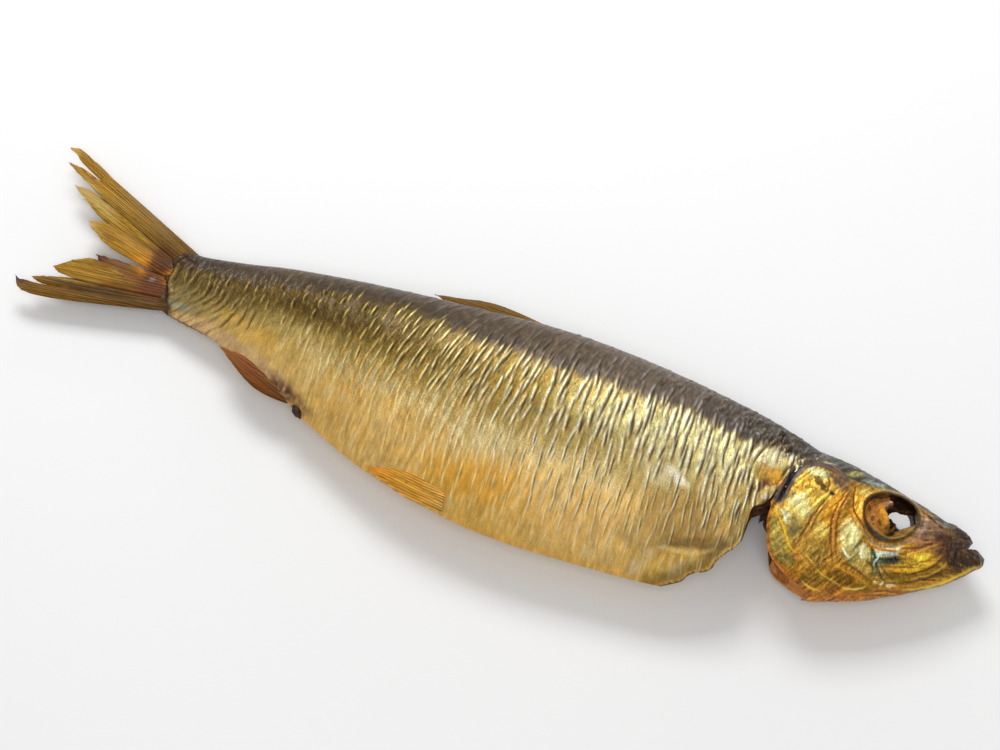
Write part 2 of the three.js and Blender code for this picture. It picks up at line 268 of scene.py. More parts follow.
# ================================================================ the fish's surface
class Profile:
    """The fish's form along x."""

    def __init__(self, stations, section):
        for key in ("back", "belly", "half", "mid"):
            setattr(self, key, smooth_curve(stations["x"], stations[key]))
        self.start, self.end = stations["x"][0], stations["x"][-1]
        self.section = section
        self._measure_girth()

    def depth(self, x):
        return self.back(x) - self.belly(x)

    def swell(self, s):
        """How thick a section is at s, as a share of its greatest thickness."""
        rounding = self.section["round"]
        keel = self.section["keel"]
        widest = rounding / (rounding + keel)
        inside = np.clip(s, 0, 1)
        return (inside / widest) ** rounding * ((1 - inside) / (1 - widest)) ** keel

    def _measure_girth(self, steps=2001):
        """The way down the flank, as a share of the depth, at many s of a middling section."""
        middle = (self.start + self.end) / 2
        slimness = self.half(middle) / self.depth(middle)
        self.shares = (1 - np.cos(np.linspace(0, np.pi, steps))) / 2
        strides = np.hypot(np.diff(self.shares), np.diff(slimness * self.swell(self.shares)))
        self.ways = np.concatenate([[0], np.cumsum(strides)])

    def way_down(self, x, s):
        """How far from the back's ridge a place is, along the skin."""
        return self.depth(x) * np.interp(s, self.shares, self.ways)

    def share_at(self, x, way):
        return np.interp(way / self.depth(x), self.ways, self.shares)

    def even_shares(self, rows):
        return np.interp(np.linspace(0, self.ways[-1], rows + 1), self.ways, self.shares)

    def level(self, x, s):
        return mix(self.back(x), self.belly(x), s)

    def point(self, x, s, side):
        z = self.mid(x) + side * self.half(x) * self.swell(s)
        return np.stack([x, self.level(x, s), z], axis=-1)

    def share_of(self, x, y):
        return np.clip((self.back(x) - y) / self.depth(x), 0, 1)

    def height(self, x, y, side=1):
        """The height of the skin at x and y, on the upper flank or the one below."""
        return self.mid(x) + side * self.half(x) * self.swell(self.share_of(x, y))


trunk_form = Profile(TRUNK_STATIONS, TRUNK_SECTION)
head_form = Profile(HEAD_STATIONS, HEAD_SECTION)


class Skin:
    """A closed grid over a form. The upper flank is fine; the one below is coarser."""

    def __init__(self, form, columns, upper_rows, lower_rows, slant=None):
        self.form = form
        starts = np.linspace(form.start, form.end, columns)
        upper_x, upper_s = self._grid(starts, form.even_shares(upper_rows), slant)
        lower_x, lower_s = self._grid(starts[::COARSER_BELOW], form.even_shares(lower_rows), slant)
        self.x = np.concatenate([upper_x.ravel(), lower_x[1:-1].ravel()])
        self.s = np.concatenate([upper_s.ravel(), lower_s[1:-1].ravel()])
        self.side = np.concatenate([np.ones(upper_x.size), -np.ones(lower_x[1:-1].size)])
        self.points = form.point(self.x, self.s, self.side)
        self.y = self.points[:, 1]
        self.way = form.way_down(self.x, self.s)
        self._join(upper_x.shape, lower_x[1:-1].shape)

    def _grid(self, starts, shares, slant):
        """The x and s of each point; with a slant, the columns lean along the scale pockets."""
        x, s = np.meshgrid(starts, shares)
        if slant is None:
            return x, s
        lean = slant(x, s)
        steps = (lean[1:] + lean[:-1]) / 2 * np.diff(self.form.way_down(x, s), axis=0)
        shift = np.vstack([np.zeros(len(starts)), -np.cumsum(steps, axis=0)])
        shift -= shift[np.searchsorted(shares, UPRIGHT_SHARE)]
        start, end = self.form.start, self.form.end
        free = ramp(x, start, start + UPRIGHT_END) * ramp(x, end, end - UPRIGHT_END)
        return x + shift * free, s

    def _join(self, upper_shape, lower_shape):
        fine = np.arange(upper_shape[0] * upper_shape[1]).reshape(upper_shape)
        coarse = fine.size + np.arange(lower_shape[0] * lower_shape[1]).reshape(lower_shape)
        quads = [
            grid_quads(fine[:-1, :-1], fine[1:, :-1], fine[1:, 1:], fine[:-1, 1:]),
            grid_quads(coarse[:-1, :-1], coarse[:-1, 1:], coarse[1:, 1:], coarse[1:, :-1]),
        ]
        triangles = self._zip(fine[0], coarse[0], 1) + self._zip(fine[-1], coarse[-1], -1)
        rear = np.concatenate([fine[:, 0], coarse[::-1, 0]])
        front = np.concatenate([fine[:, -1], coarse[::-1, -1]])
        centre = len(self.points)
        self.caps = [self.points[rear].mean(0), self.points[front].mean(0)]
        triangles.append((np.full(rear.shape, centre), np.roll(rear, -1), rear))
        triangles.append((np.full(front.shape, centre + 1), front, np.roll(front, -1)))
        self.quads = np.concatenate(quads)
        self.triangles = np.concatenate([np.stack(t, axis=1) for t in triangles])

    def _zip(self, fine, coarse, turn):
        """Triangles between a fine row and a coarse one that has every third of its columns."""
        middle = (COARSER_BELOW + 1) // 2
        found = []
        for k in range(COARSER_BELOW):
            third = coarse[:-1] if k < middle else coarse[1:]
            found.append((fine[k:-1:COARSER_BELOW], fine[k + 1::COARSER_BELOW], third))
        found.append((fine[middle:-1:COARSER_BELOW], coarse[1:], coarse[:-1]))
        return [triangle[::turn] for triangle in found]

    def normals(self):
        points = np.vstack([self.points, self.caps])
        split = np.concatenate([self.quads[:, [0, 1, 2]], self.quads[:, [0, 2, 3]], self.triangles])
        a, b, c = (points[split[:, k]] for k in range(3))
        faces = np.cross(b - a, c - a)
        total = np.zeros_like(points)
        for k in range(3):
            np.add.at(total, split[:, k], faces)
        total = total[: len(self.points)]
        return total / np.linalg.norm(total, axis=1, keepdims=True)

    def build(self, name, heights, paint, marks):
        """The mesh, with the skin raised by heights and its colours and marks kept at each point."""
        raised = self.points + self.normals() * heights[:, None]
        raised[:, 2] = np.maximum(raised[:, 2], TABLE_GAP)
        points = np.vstack([raised, self.caps])
        layers = {key: np.append(value, [0.0, 0.0]) for key, value in marks.items()}
        colours = np.vstack([paint, paint[:1], paint[-1:]])
        return mesh_object(name, points, [self.quads, self.triangles], colours, layers)


def grid_quads(a, b, c, d):
    return np.stack([a.ravel(), b.ravel(), c.ravel(), d.ravel()], axis=1)


def linear(colour):
    """A colour given as 0 to 255 on a screen, as the light that a shader reckons with."""
    share = np.clip(np.array(colour, float) / 255, 0, 1)
    return np.where(share <= 0.04045, share / 12.92, ((share + 0.055) / 1.055) ** 2.4)


def mesh_object(name, points, faces, paint, marks=None):
    """A smooth mesh of points in millimetres; paint holds a screen colour for each, marks a number."""
    mesh = bpy.data.meshes.new(name)
    lists = [row for block in faces for row in block.tolist()]
    mesh.from_pydata(((points + PLACE) * MM).tolist(), [], lists)
    mesh.shade_smooth()
    colours = mesh.attributes.new("paint", "FLOAT_COLOR", "POINT")
    colours.data.foreach_set("color", np.hstack([linear(paint), np.ones((len(paint), 1))]).ravel())
    for key, values in (marks or {}).items():
        mark = mesh.attributes.new(key, "FLOAT", "POINT")
        mark.data.foreach_set("value", values.astype(np.float32))
    return place_in_scene(name, mesh)


def place_in_scene(name, data):
    holder = bpy.data.objects.new(name, data)
    bpy.context.scene.collection.objects.link(holder)
    return holder


# ================================================================ marks on the skin
# What a mark leaves: its relief, its groove (painted dark as shade), its lip (painted bright as a highlight)
# and its orange vein.
MARKS = ("height", "groove", "lip_highlight", "vein")
CANVAS_MARGIN = 2.0
# A groove's lip, painted bright as a highlight, and the swelling beyond it: how far to its tail side, and how
# wide, in groove widths.
LIP_PLACE, LIP_WIDTH = 2.7, 1.75
SWELLING_PLACE, SWELLING_WIDTH = 5.6, 3.8
# How far a groove's marks are worked out to its sides, in groove widths.
STROKE_REACH = 9


class Canvas:
    """A sheet over one flank, on which the scale pockets, wrinkles and veins are drawn.

    It is laid out by x and by the way down from the back's ridge.
    """

    def __init__(self, form, reach=90.0):
        self.form = form
        self.low = np.array([form.start - CANVAS_MARGIN, -CANVAS_MARGIN])
        shape = ((np.array([form.end + CANVAS_MARGIN, reach]) - self.low) / CANVAS_PITCH).astype(int) + 2
        self.sheets = {key: np.zeros(shape) for key in MARKS}

    def spot(self, x, way, half, margin):
        """The part of the sheet round a mark, and how far along and across each of its points lies."""
        shape = self.sheets["height"].shape
        start = np.floor((np.array([x - margin, way - half]) - self.low) / CANVAS_PITCH).astype(int)
        stop = np.ceil((np.array([x + margin, way + half]) - self.low) / CANVAS_PITCH).astype(int) + 1
        start = np.clip(start, 0, shape)
        stop = np.clip(stop, start, shape)
        xs = self.low[0] + CANVAS_PITCH * np.arange(start[0], stop[0])[:, None]
        down = self.low[1] + CANVAS_PITCH * np.arange(start[1], stop[1])[None, :] - way
        return (slice(start[0], stop[0]), slice(start[1], stop[1])), xs, down

    def deepen(self, key, patch, trace):
        """Where strokes cross, the stronger one shows."""
        sheet = self.sheets[key]
        sheet[patch] = np.maximum(sheet[patch], trace)

    def stroke(self, x, way, length, slant, bend, depth, width, shine, dark=1.0):
        """A short groove down the flank, painted dark as shade, with a sharp lip on its tail side painted as
        a highlight.
        """
        half = length / 2
        patch, xs, down = self.spot(x, way, half, abs(slant) * half + abs(bend) + STROKE_REACH * width)
        share = np.clip(down / half, -1, 1)
        fade = (1 - share**2) ** 1.1
        across = (xs - (x - slant * down + bend * (share**2 - 0.4))) / width
        groove = bell(across) * fade
        lip = bell(across + LIP_PLACE, LIP_WIDTH) * fade
        swelling = bell(across + SWELLING_PLACE, SWELLING_WIDTH) * fade
        self.sheets["height"][patch] += depth * (0.95 * lip + 0.5 * swelling - groove)
        # Painted shade in the groove, and a painted highlight on the lip.
        self.deepen("groove", patch, groove * dark)
        self.deepen("lip_highlight", patch, lip * shine)

    def vein_line(self, x, way, length, slant, width, strength):
        half = length / 2
        patch, xs, down = self.spot(x, way, half, abs(slant) * half + 4 * width)
        self.deepen("vein", patch, bell(xs - (x - slant * down), width) * strength)

    def read(self, key, x, way):
        """The sheet's values at these places, between its points."""
        grid = self.sheets[key]
        place = (np.stack([x, way], axis=1) - self.low) / CANVAS_PITCH
        cell = np.clip(np.floor(place).astype(int), 0, np.array(grid.shape) - 2)
        i, j = cell.T
        u, v = np.clip(place - cell, 0, 1).T
        top = mix(grid[i, j], grid[i + 1, j], u)
        bottom = mix(grid[i, j + 1], grid[i + 1, j + 1], u)
        return mix(top, bottom, v)


# Where the dark back ends, and how far apart the scale pockets are along the fish.
BACK_EDGE = [(-110, 12.4), (-98, 12.4), (-92, 12.2), (-85, 12.6), (-72, 14.0), (-60, 16.0), (-49, 17.6),
             (-37, 18.3), (-25, 18.4), (-13, 16.4), (0, 15.6), (26, 16.2), (53, 16.9), (66, 16.2), (74, 15.4),
             (82, 16.6), (92, 16.4), (100, 16.5)]
back_edge = smooth_curve(*zip(*BACK_EDGE))
SCALE_PITCHES = [(-108, 4.4), (-60, 5.4), (-20, 5.6), (20, 5.5), (60, 5.6), (90, 4.6)]


def scale_slant(x, s):
    """How far the pockets' grooves lean towards the head at their upper end."""
    middle = bell(x + 18, 34)
    upper = 1 - ramp(s, 0.45, 0.75)
    stalk = (0.08 + 0.32 * ramp(s, 0.35, 0.7)) * ramp(-x, 52, 84)
    return mix(-0.06, 0.27, middle * upper) + stalk


# Where the skin is smooth: the shoulder, the pectoral fin's mark and the bare blotch. For each the middle,
# the half sizes, the turn and how smooth it is.
CALM_PLACES = [
    ((83.6, 9.8), (6.0, 6.2), 0, 1.0),
    ((68.5, -18.4), (8.5, 2.6), 16, 1.0),
    ((60.5, -1.0), (5.0, 2.2), -20, 0.8),
]
# How far along the fish each kind of mark is drawn, and how many of those that lie anywhere there are.
SCALE_SPAN = (-105, 92)
CRUMPLE_SPAN, CRUMPLES = (-104, 84), 5200
STALK_SPAN = (-104.0, -76)
NAPE_SPAN, NAPE_WRINKLES = (44, 97), 300
VEIN_SPAN = (-42.0, 78)


def calm_skin(x, y):
    return np.clip(sum(share * blob(x, y, *place) for *place, share in CALM_PLACES), 0, 1)


def draw_scales(canvas, rng, coarse):
    """Rows of short grooves down the flank, set like bricks and each a little out of place."""
    form = canvas.form
    column = 0
    x, end = SCALE_SPAN
    while x < end:
        pitch = through(SCALE_PITCHES, x)
        rise = pitch * 0.9
        way = 1.0 + rise * (0.5 if column % 2 else 0.0)
        while way < form.way_down(x, 1.0) - 0.5:
            draw_scale(canvas, rng, x, way, pitch, rise, coarse)
            way += rise
        x += pitch / 2
        column += 1


def draw_scale(canvas, rng, x, way, pitch, rise, coarse):
    """One scale pocket: bold on the upper flank, finer below, faint towards the tail, and some left out."""
    form = canvas.form
    s = form.share_at(x, way)
    upper = band(s, 0.15, 0.52, 0.08)
    lower = band(s, 0.52, 0.94, 0.07)
    on_back = 1 - ramp(s, 0.10, 0.20)
    rear = 1 - ramp(x, -98, -70)
    low_front = lower * ramp(x, -10, 30) * (1 - ramp(s, 0.75, 0.85))
    strength = (upper + (0.58 + 0.26 * low_front) * lower + 0.7 * on_back) * (1 - 0.6 * rear)
    strength *= 1 - 0.9 * calm_skin(x, form.level(x, s))
    luck = rng.uniform(mix(0.1, 0.35, ramp(x, -45, -10)), 1.35)
    jitter = rng.normal(0, 0.13, 2) * (pitch, rise)
    short = mix(0.62, 1.0, np.maximum(ramp(x, -50, -25), lower))
    length = rise * rng.uniform(0.9, 1.75) * short * (1 + 0.2 * lower + 0.4 * upper * ramp(x, -36, -8))
    slant = scale_slant(x, s) + rng.normal(0, 0.07) + 0.3 * on_back
    bend = rng.normal(0, 0.16 + 0.3 * rear)
    lonely = rng.random()
    force = strength * luck
    if force < 0.08 or lonely < 0.08:
        return
    front = ramp(x, -30, 45) * upper
    width = mix(0.19, 0.28, front) * mix(1.0, 0.72, lower) * coarse
    # How strong the lip's painted highlight (shine) and the groove's painted shade (dark) are.
    shine = min(force * (1.5 * upper + 0.9 * lower + 0.8 * on_back), 1.0)
    dark = min(force * (1.1 * upper + (0.3 + 0.6 * low_front) * lower + 0.6 * on_back), 1.0)
    canvas.stroke(x + jitter[0], way + jitter[1], length, slant, bend, 0.25 * force, width, shine, dark)


def draw_crumples(canvas, rng):
    """Fine wiggles between the grooves, where the skin has shrunk round each scale."""
    form = canvas.form
    for _ in range(CRUMPLES):
        x = rng.uniform(*CRUMPLE_SPAN)
        s = rng.uniform(0.1, 0.92)
        way = form.way_down(x, s)
        upper = band(s, 0.12, 0.5, 0.06)
        force = rng.uniform(0.2, 0.8) * (0.25 + 0.75 * upper) * (1 - 0.8 * calm_skin(x, form.level(x, s)))
        slant = scale_slant(x, s) + rng.choice([-1, 1]) * rng.uniform(0.0, 0.9) * (0.3 + 0.7 * upper)
        length = rng.uniform(1.2, 3.6)
        bend = rng.normal(0, 0.3)
        # A faint painted highlight on each crumple's lip, and painted shade in its groove.
        shine = 0.35 * force * mix(0.3, 1.0, ramp(x, -56, -16))
        canvas.stroke(x, way, length, slant, bend, 0.07 * force, 0.15, shine, 0.6 * force)


def draw_stalk_wrinkles(canvas, rng):
    """Wavy folds across the tail's stalk."""
    x, end = STALK_SPAN
    while x < end:
        way = rng.uniform(2.5, 5.0)
        while way < 1.2 * canvas.form.depth(x):
            length = rng.uniform(3.0, 6.5)
            slant = rng.normal(0.12 + 0.04 * way, 0.18)
            fade = 0.6 * (1 - ramp(x, -90, -76)) * rng.uniform(0.4, 1.1)
            # The wrinkles get painted highlights on their lips and painted shade in their grooves.
            canvas.stroke(x + rng.normal(0, 0.4), way, length, slant, rng.normal(0, 0.7), 0.30 * fade, 0.34,
                          0.30 * fade, 0.75 * fade)
            way += 0.8 * length
        x += rng.uniform(1.5, 2.4)


# Folds of the skin behind the gill cover: the middle of each, its length and its lean.
SHOULDER_FOLDS = [
    (76.0, 13.5, 6.0, 0.10), (78.3, 13.2, 9.0, 0.28), (81.4, 18.2, 6.0, 0.45), (77.6, 6.0, 7.0, -0.1),
    (79.6, 1.6, 8.0, -0.15), (75.2, 4.0, 6.0, 0.0), (81.6, 3.4, 5.0, -0.35), (78.0, -4.5, 7.0, 0.05),
]


def draw_wrinkles(canvas, rng):
    """Rumpled dark skin on the nape, and folds behind the gill cover."""
    for _ in range(NAPE_WRINKLES):
        x = rng.uniform(*NAPE_SPAN)
        way = rng.uniform(3.5, 15.5)
        near_head = ramp(x, 50, 78)
        if rng.random() > 0.2 + 0.8 * near_head:
            continue
        slant = rng.normal(0.9, 0.5)
        length = rng.uniform(2.2, 5.6)
        depth = 0.32 * rng.uniform(0.3, 1.2) * (0.35 + 0.65 * near_head) * mix(0.3, 1.0, ramp(way, 4, 10))
        bend = rng.normal(0, 0.9)
        # Painted highlights on the wrinkles' lips, and painted shade in their grooves.
        canvas.stroke(x, way, length, slant, bend, depth, rng.uniform(0.2, 0.3), 2.6 * depth, 0.9)
    for x, y, length, slant in SHOULDER_FOLDS:
        way = canvas.form.way_down(x, canvas.form.share_of(x, y))
        # The folds too get a painted highlight on the lip and painted shade in the groove.
        canvas.stroke(x, way, length, slant, 0.5, 0.4, 0.3, 0.9)


def draw_veins(canvas, rng):
    """Thin orange lines that zigzag down the middle of the flank."""
    form = canvas.form
    x, last = VEIN_SPAN
    while x < last:
        s = rng.uniform(0.26, 0.40)
        reach = rng.uniform(14, 26) * (1 - 0.4 * ramp(x, 30, 60))
        way = form.way_down(x, s)
        end = way + reach
        here = x
        lean = 1
        while way < end:
            length = rng.uniform(2.0, 4.2)
            slant = scale_slant(x, 0.5) * 0.5 + lean * rng.uniform(0.15, 0.6)
            fade = 1 - abs(2 * (end - way) / reach - 1) ** 3
            middle = here - slant * length / 2
            canvas.vein_line(middle, way + length / 2, length, slant, 0.32, fade * rng.uniform(0.6, 1.0))
            here -= slant * length
            way += length
            lean = -lean
        x += rng.uniform(2.2, 4.2)


def draw_flank(form, seed, coarse):
    """All that is drawn on a flank. The one that the fish lies on gets broader marks and no crumples."""
    rng = np.random.default_rng(seed)
    canvas = Canvas(form)
    draw_scales(canvas, rng, coarse)
    if coarse == 1:
        draw_crumples(canvas, rng)
    draw_stalk_wrinkles(canvas, rng)
    draw_wrinkles(canvas, rng)
    draw_veins(canvas, rng)
    return canvas


# ================================================================ the trunk
# Colours as they look on a screen, 0 to 255.
BACK_BROWN = (70, 54, 32)
BACK_VIOLET = (92, 78, 64)
NAPE_BLACK = (50, 42, 38)
STALK_BLACK = (50, 36, 22)
LILAC_GLINT = (176, 172, 170)
OLIVE_GOLD = (80, 60, 12)
DEEP_GOLD = (156, 126, 44)
# Pale gold, painted as a broad highlight:
PALE_GOLD_HIGHLIGHT = (228, 218, 154)
STRAW = (202, 170, 86)
OCHRE = (216, 168, 72)
ORANGE = (224, 160, 56)
CREAM = (232, 204, 146)
PINK_TAN = (216, 176, 124)
PEDUNCLE = (104, 86, 40)
BARK = (70, 44, 30)
FIN_ROOT = (100, 54, 24)
# Painted blue-grey sheen:
SHEEN_BLUE_GREY = (156, 160, 142)
GREY_STREAK = (190, 174, 130)
BROWN_GOLD = (146, 110, 40)
VEIN_ORANGE = (206, 136, 36)
# Painted shade for the grooves, and painted highlights for their lips:
GROOVE_SHADE = (54, 36, 14)
LIP_HIGHLIGHT = (255, 250, 214)
LIP_GOLD_HIGHLIGHT = (246, 222, 130)
ZONE_OLIVE = (132, 112, 56)
ZONE_PALE = (222, 204, 158)
STREAK_PALE = (240, 220, 170)
BELLY_GOLD = (210, 146, 30)
BELLY_PALE = (230, 202, 158)
KEEL_ORANGE = (226, 172, 84)
# Painted sheen on the stalk:
STALK_SHEEN_GREY = (134, 120, 80)
ROOT_EDGE = (52, 40, 30)
VENT_STAIN = (84, 52, 30)
BELOW_BACK = (58, 46, 4)
LOW_BACK = (46, 34, 10)
SPECK_ORANGE = (196, 104, 20)
FLAP_GOLD = (222, 176, 84)

# Places on the trunk: the middle, the half sizes, the turn and how soft the edge is.
# The next place is a broad painted highlight on the upper front flank.
HIGHLIGHT_FLANK = ((54, 8), (30, 9.5), 3, 0.7)
OLIVE_FLANK = ((66, -9), (16, 8), -8, 0.6)
ORANGE_BELLY = ((4, -22.0), (13, 5), 5, 0.7)
# The next two places are painted grey and blue-grey sheen on the stalk.
STALK_SHEEN = ((-98, 2.6), (11, 3.6), -8, 0.6)
BLUE_SHEEN = ((-98.0, 0.6), (3.6, 0.9), -3, 0.6)
STALK_RIDGE = ((-100, 16.6), (9, 1.6), 4, 0.6)
ROUND_VENT = ((-57, -14.0), (8.4, 2.0), -25, 0.7)


def coat(colour, count):
    """The same colour for each of count points."""
    return np.tile(np.array(colour, float), (count, 1))


def layer(paint, colour, mask):
    """Lays a colour over the paint, as strongly as the mask says."""
    return mix(paint, np.array(colour, float), np.clip(mask, 0, 1)[:, None])


def layers(paint, *coats):
    """Lays several colours over the paint, the first one first."""
    for colour, mask in coats:
        paint = layer(paint, colour, mask)
    return paint


def patches(paint, x, y, rows, soft=0.45):
    """Lays patches over the paint: for each the middle, half sizes, turn, colour and how strong it is."""
    for centre, size, turn, colour, strength in rows:
        paint = layer(paint, colour, strength * blob(x, y, centre, size, turn, soft))
    return paint


def flank_paint(x, y, s, patchy, fine, streaky, mottle):
    """The flank from the back down: gold, straw, ochre and orange, under pale and brown streaks; high on the
    front, pale gold painted as a broad highlight.
    """
    rear = 1 - ramp(x, -44, 28)
    orange = band(s + 0.06 * patchy, 0.70, 0.92, 0.07) * band(x, -50, 50, 14)
    long_streak = Grain(16).rough((x - 0.16 * y) / 0.8, y / 6.0, 3)
    in_streaks = band(s, 0.46, 0.96, 0.05) * ramp(x, -84, -60)
    pale = ramp(s + 0.05 * patchy, 0.66, 0.84) * (1 - ramp(x, 46, 64)) * (1 - 0.7 * band(x, -12, 22, 8))
    return layers(
        coat(DEEP_GOLD, len(x)),
        (OLIVE_GOLD, 0.95 * rear),
        (STRAW, ramp(s + 0.06 * patchy, 0.36, 0.56) * (0.8 + 0.2 * streaky)),
        (GREY_STREAK, 0.4 * band(s, 0.42, 0.72, 0.08) * (0.5 + streaky)),
        (OCHRE, ramp(s + 0.08 * patchy, 0.56, 0.72) * (0.84 + 0.16 * streaky)),
        # A broad painted highlight of pale gold on the upper front flank.
        (PALE_GOLD_HIGHLIGHT, blob(x + 3 * fine, y, *HIGHLIGHT_FLANK) * 0.9),
        (OLIVE_GOLD, 0.40 * blob(x, y, *OLIVE_FLANK) * (0.7 + 0.9 * mottle)),
        (ZONE_OLIVE, 0.5 * band(s, 0.42, 0.60, 0.05) * band(x, 0, 52, 12)),
        (ZONE_PALE, 0.5 * band(s + 0.05 * patchy, 0.56, 0.80, 0.07) * band(x, -58, 44, 12)),
        (ORANGE, orange * (0.5 + 0.2 * streaky + 0.25 * patchy)),
        (CREAM, 0.35 * ramp(fine + 0.5 * patchy, 0.1, 0.6) * band(s, 0.72, 0.97, 0.05)),
        (STREAK_PALE, 0.5 * ramp(long_streak, 0.05, 0.6) * in_streaks),
        (BROWN_GOLD, 0.34 * ramp(-long_streak, 0.1, 0.6) * in_streaks),
        (BELLY_GOLD, 0.7 * blob(x + 2 * fine, y, *ORANGE_BELLY)),
        (BELLY_PALE, 0.24 * pale),
        (KEEL_ORANGE, 0.7 * ramp(s + 0.01 * fine, 0.965, 0.99)),
    )


# The stalk: where its pale lower strip begins, and where its skin ends on the fin's root.
STALK_STRIP = [(-100, -1.7), (-96, -1.1), (-87, -0.7), (-83, -2.2), (-78, -3.4), (-68, -6.5), (-56, -13.0),
               (-40, -40.0)]
STALK_END = [(-107.4, 15.5), (-107.8, 13.0), (-107.9, 10.7), (-106.3, 7.0), (-104.4, 3.6), (-102.3, 0.7),
             (-101.0, -1.6)]


def rear_paint(paint, x, y, s, fine, mottle):
    """The tail's stalk, with its pale strip below, dark end and painted grey and blue-grey sheen, and the
    stain round the vent.
    """
    stalk = 1 - ramp(x, -90, -58)
    below = through(STALK_STRIP, x) - y - 0.5 * fine
    gap, _, side = near_line(x + 0.9 * fine + 0.7 * mottle, y, STALK_END)
    stain = blob(x + 2 * fine, y + mottle, *ROUND_VENT)
    return layers(
        paint,
        (PEDUNCLE, 0.9 * stalk * (1 - ramp(s, 0.50, 0.74))),
        # Painted sheen on the stalk's side.
        (STALK_SHEEN_GREY, 0.75 * blob(x, y + 0.6 * fine, *STALK_SHEEN)),
        (PINK_TAN, 0.9 * ramp(below, -0.4, 0.8)),
        (BARK, 0.6 * ramp(s + 0.01 * fine, 0.98, 0.997) * (1 - ramp(x, -95, -80))),
        (FIN_ROOT, np.where(side < 0, ramp(gap, -0.1, 0.4), 0.0)),
        (ROOT_EDGE, 0.9 * bell(gap, 1.5) * (0.8 + 0.6 * mottle)),
        # Painted blue-grey sheen.
        (SHEEN_BLUE_GREY, 0.85 * blob(x + fine, y + 0.4 * mottle, *BLUE_SHEEN)),
        (BARK, 0.8 * blob(x + 2 * fine, y, *STALK_RIDGE)),
        (VENT_STAIN, stain * (0.55 + 0.7 * mottle)),
    )


# Patches: the middle, the half sizes, the turn, the colour and how strong it is.
TRUNK_PATCHES = [
    # The bare blotch: pale skin whose near white is a painted highlight.
    ((58.2, -1.8), (5.0, 1.6), -20, (252, 242, 216), 0.9),
    ((52.8, -3.4), (6.0, 2.2), -22, (224, 214, 174), 0.55),
    ((65.0, -11.5), (12.0, 6.5), -8, (142, 108, 46), 0.5),
    ((56.0, -19.5), (9.0, 5.0), 0, (150, 118, 54), 0.45),
    # Along the pectoral fin's mark: a painted shadow, and a painted highlight under it.
    ((69.0, -17.6), (9.6, 1.7), 20, (112, 82, 26), 0.85),
    ((66.0, -20.0), (7.0, 0.7), 16, (222, 188, 108), 0.6),
    ((75.4, -16.4), (4.0, 2.4), 30, (146, 116, 50), 0.6),
    ((56.0, -28.4), (2.4, 2.0), 70, (214, 188, 158), 0.5),
    ((66.6, -25.9), (3.4, 1.6), 60, (212, 188, 160), 0.5),
    ((58.6, -23.3), (1.2, 0.8), 40, (222, 194, 168), 0.4),
    ((61.2, -20.9), (1.3, 0.6), 60, (236, 222, 198), 0.45),
    ((80.4, 11.2), (2.6, 2.0), 10, (242, 216, 144), 0.7),
    ((82.0, 13.4), (3.8, 3.0), 10, (236, 222, 166), 0.95),
    ((84.2, 8.4), (3.2, 2.6), 10, (236, 176, 66), 0.95),
    ((80.4, 8.2), (1.8, 2.6), 10, (170, 120, 40), 0.6),
    ((81.6, 4.4), (1.1, 3.4), -30, (92, 56, 24), 0.85),
    ((79.0, 0.6), (1.8, 3.6), -10, (150, 112, 40), 0.6),
    ((84.6, -0.4), (1.5, 5.0), -22, (78, 40, 22), 0.95),
    ((83.5, 1.9), (0.7, 0.55), 20, (236, 232, 224), 0.95),
    ((86.4, 16.3), (2.6, 0.9), 10, (196, 200, 160), 0.8),
    ((-103.6, 15.0), (5.6, 2.6), -12, (76, 46, 20), 0.75),
    ((-105.6, 8.6), (1.7, 6.0), 4, (72, 48, 24), 0.65),
    ((-103.0, 2.6), (1.8, 1.6), 0, (96, 60, 36), 0.6),
]
# Lines: the points, the width, the height (a groove is negative), the colour and how strong it is.
TRUNK_LINES = [
    ([(81.2, 6.3), (83.1, 5.7), (84.9, 6.5), (86.5, 8.6)], 0.32, -0.25, (132, 52, 20), 0.9),
    ([(80.0, 10.6), (82.4, 10.0), (85.0, 11.0)], 0.40, -0.22, (186, 128, 50), 0.7),
    ([(81.9, -0.3), (81.7, 2.0), (82.9, 3.5), (84.9, 4.4)], 0.42, 0.30, (232, 186, 84), 0.9),
    ([(79.4, 13.8), (80.6, 15.6), (83.6, 16.6)], 0.5, 0.25, (206, 198, 160), 0.7),
    ([(86.2, 8.6), (86.9, 11.8), (88.0, 14.4)], 0.45, -0.3, (54, 34, 28), 0.9),
    # Along the pectoral fin's mark: a groove painted dark as shade, and under it a ridge painted bright as a
    # highlight.
    ([(59.4, -19.8), (63.1, -17.6), (68.1, -16.7), (72.3, -15.1), (76.0, -12.6)],
     0.30, -0.16, (128, 92, 34), 0.8),
    ([(61.4, -21.6), (66.5, -20.7), (71.9, -19.0), (75.6, -16.4)], 0.36, 0.14, (226, 192, 112), 0.7),
]

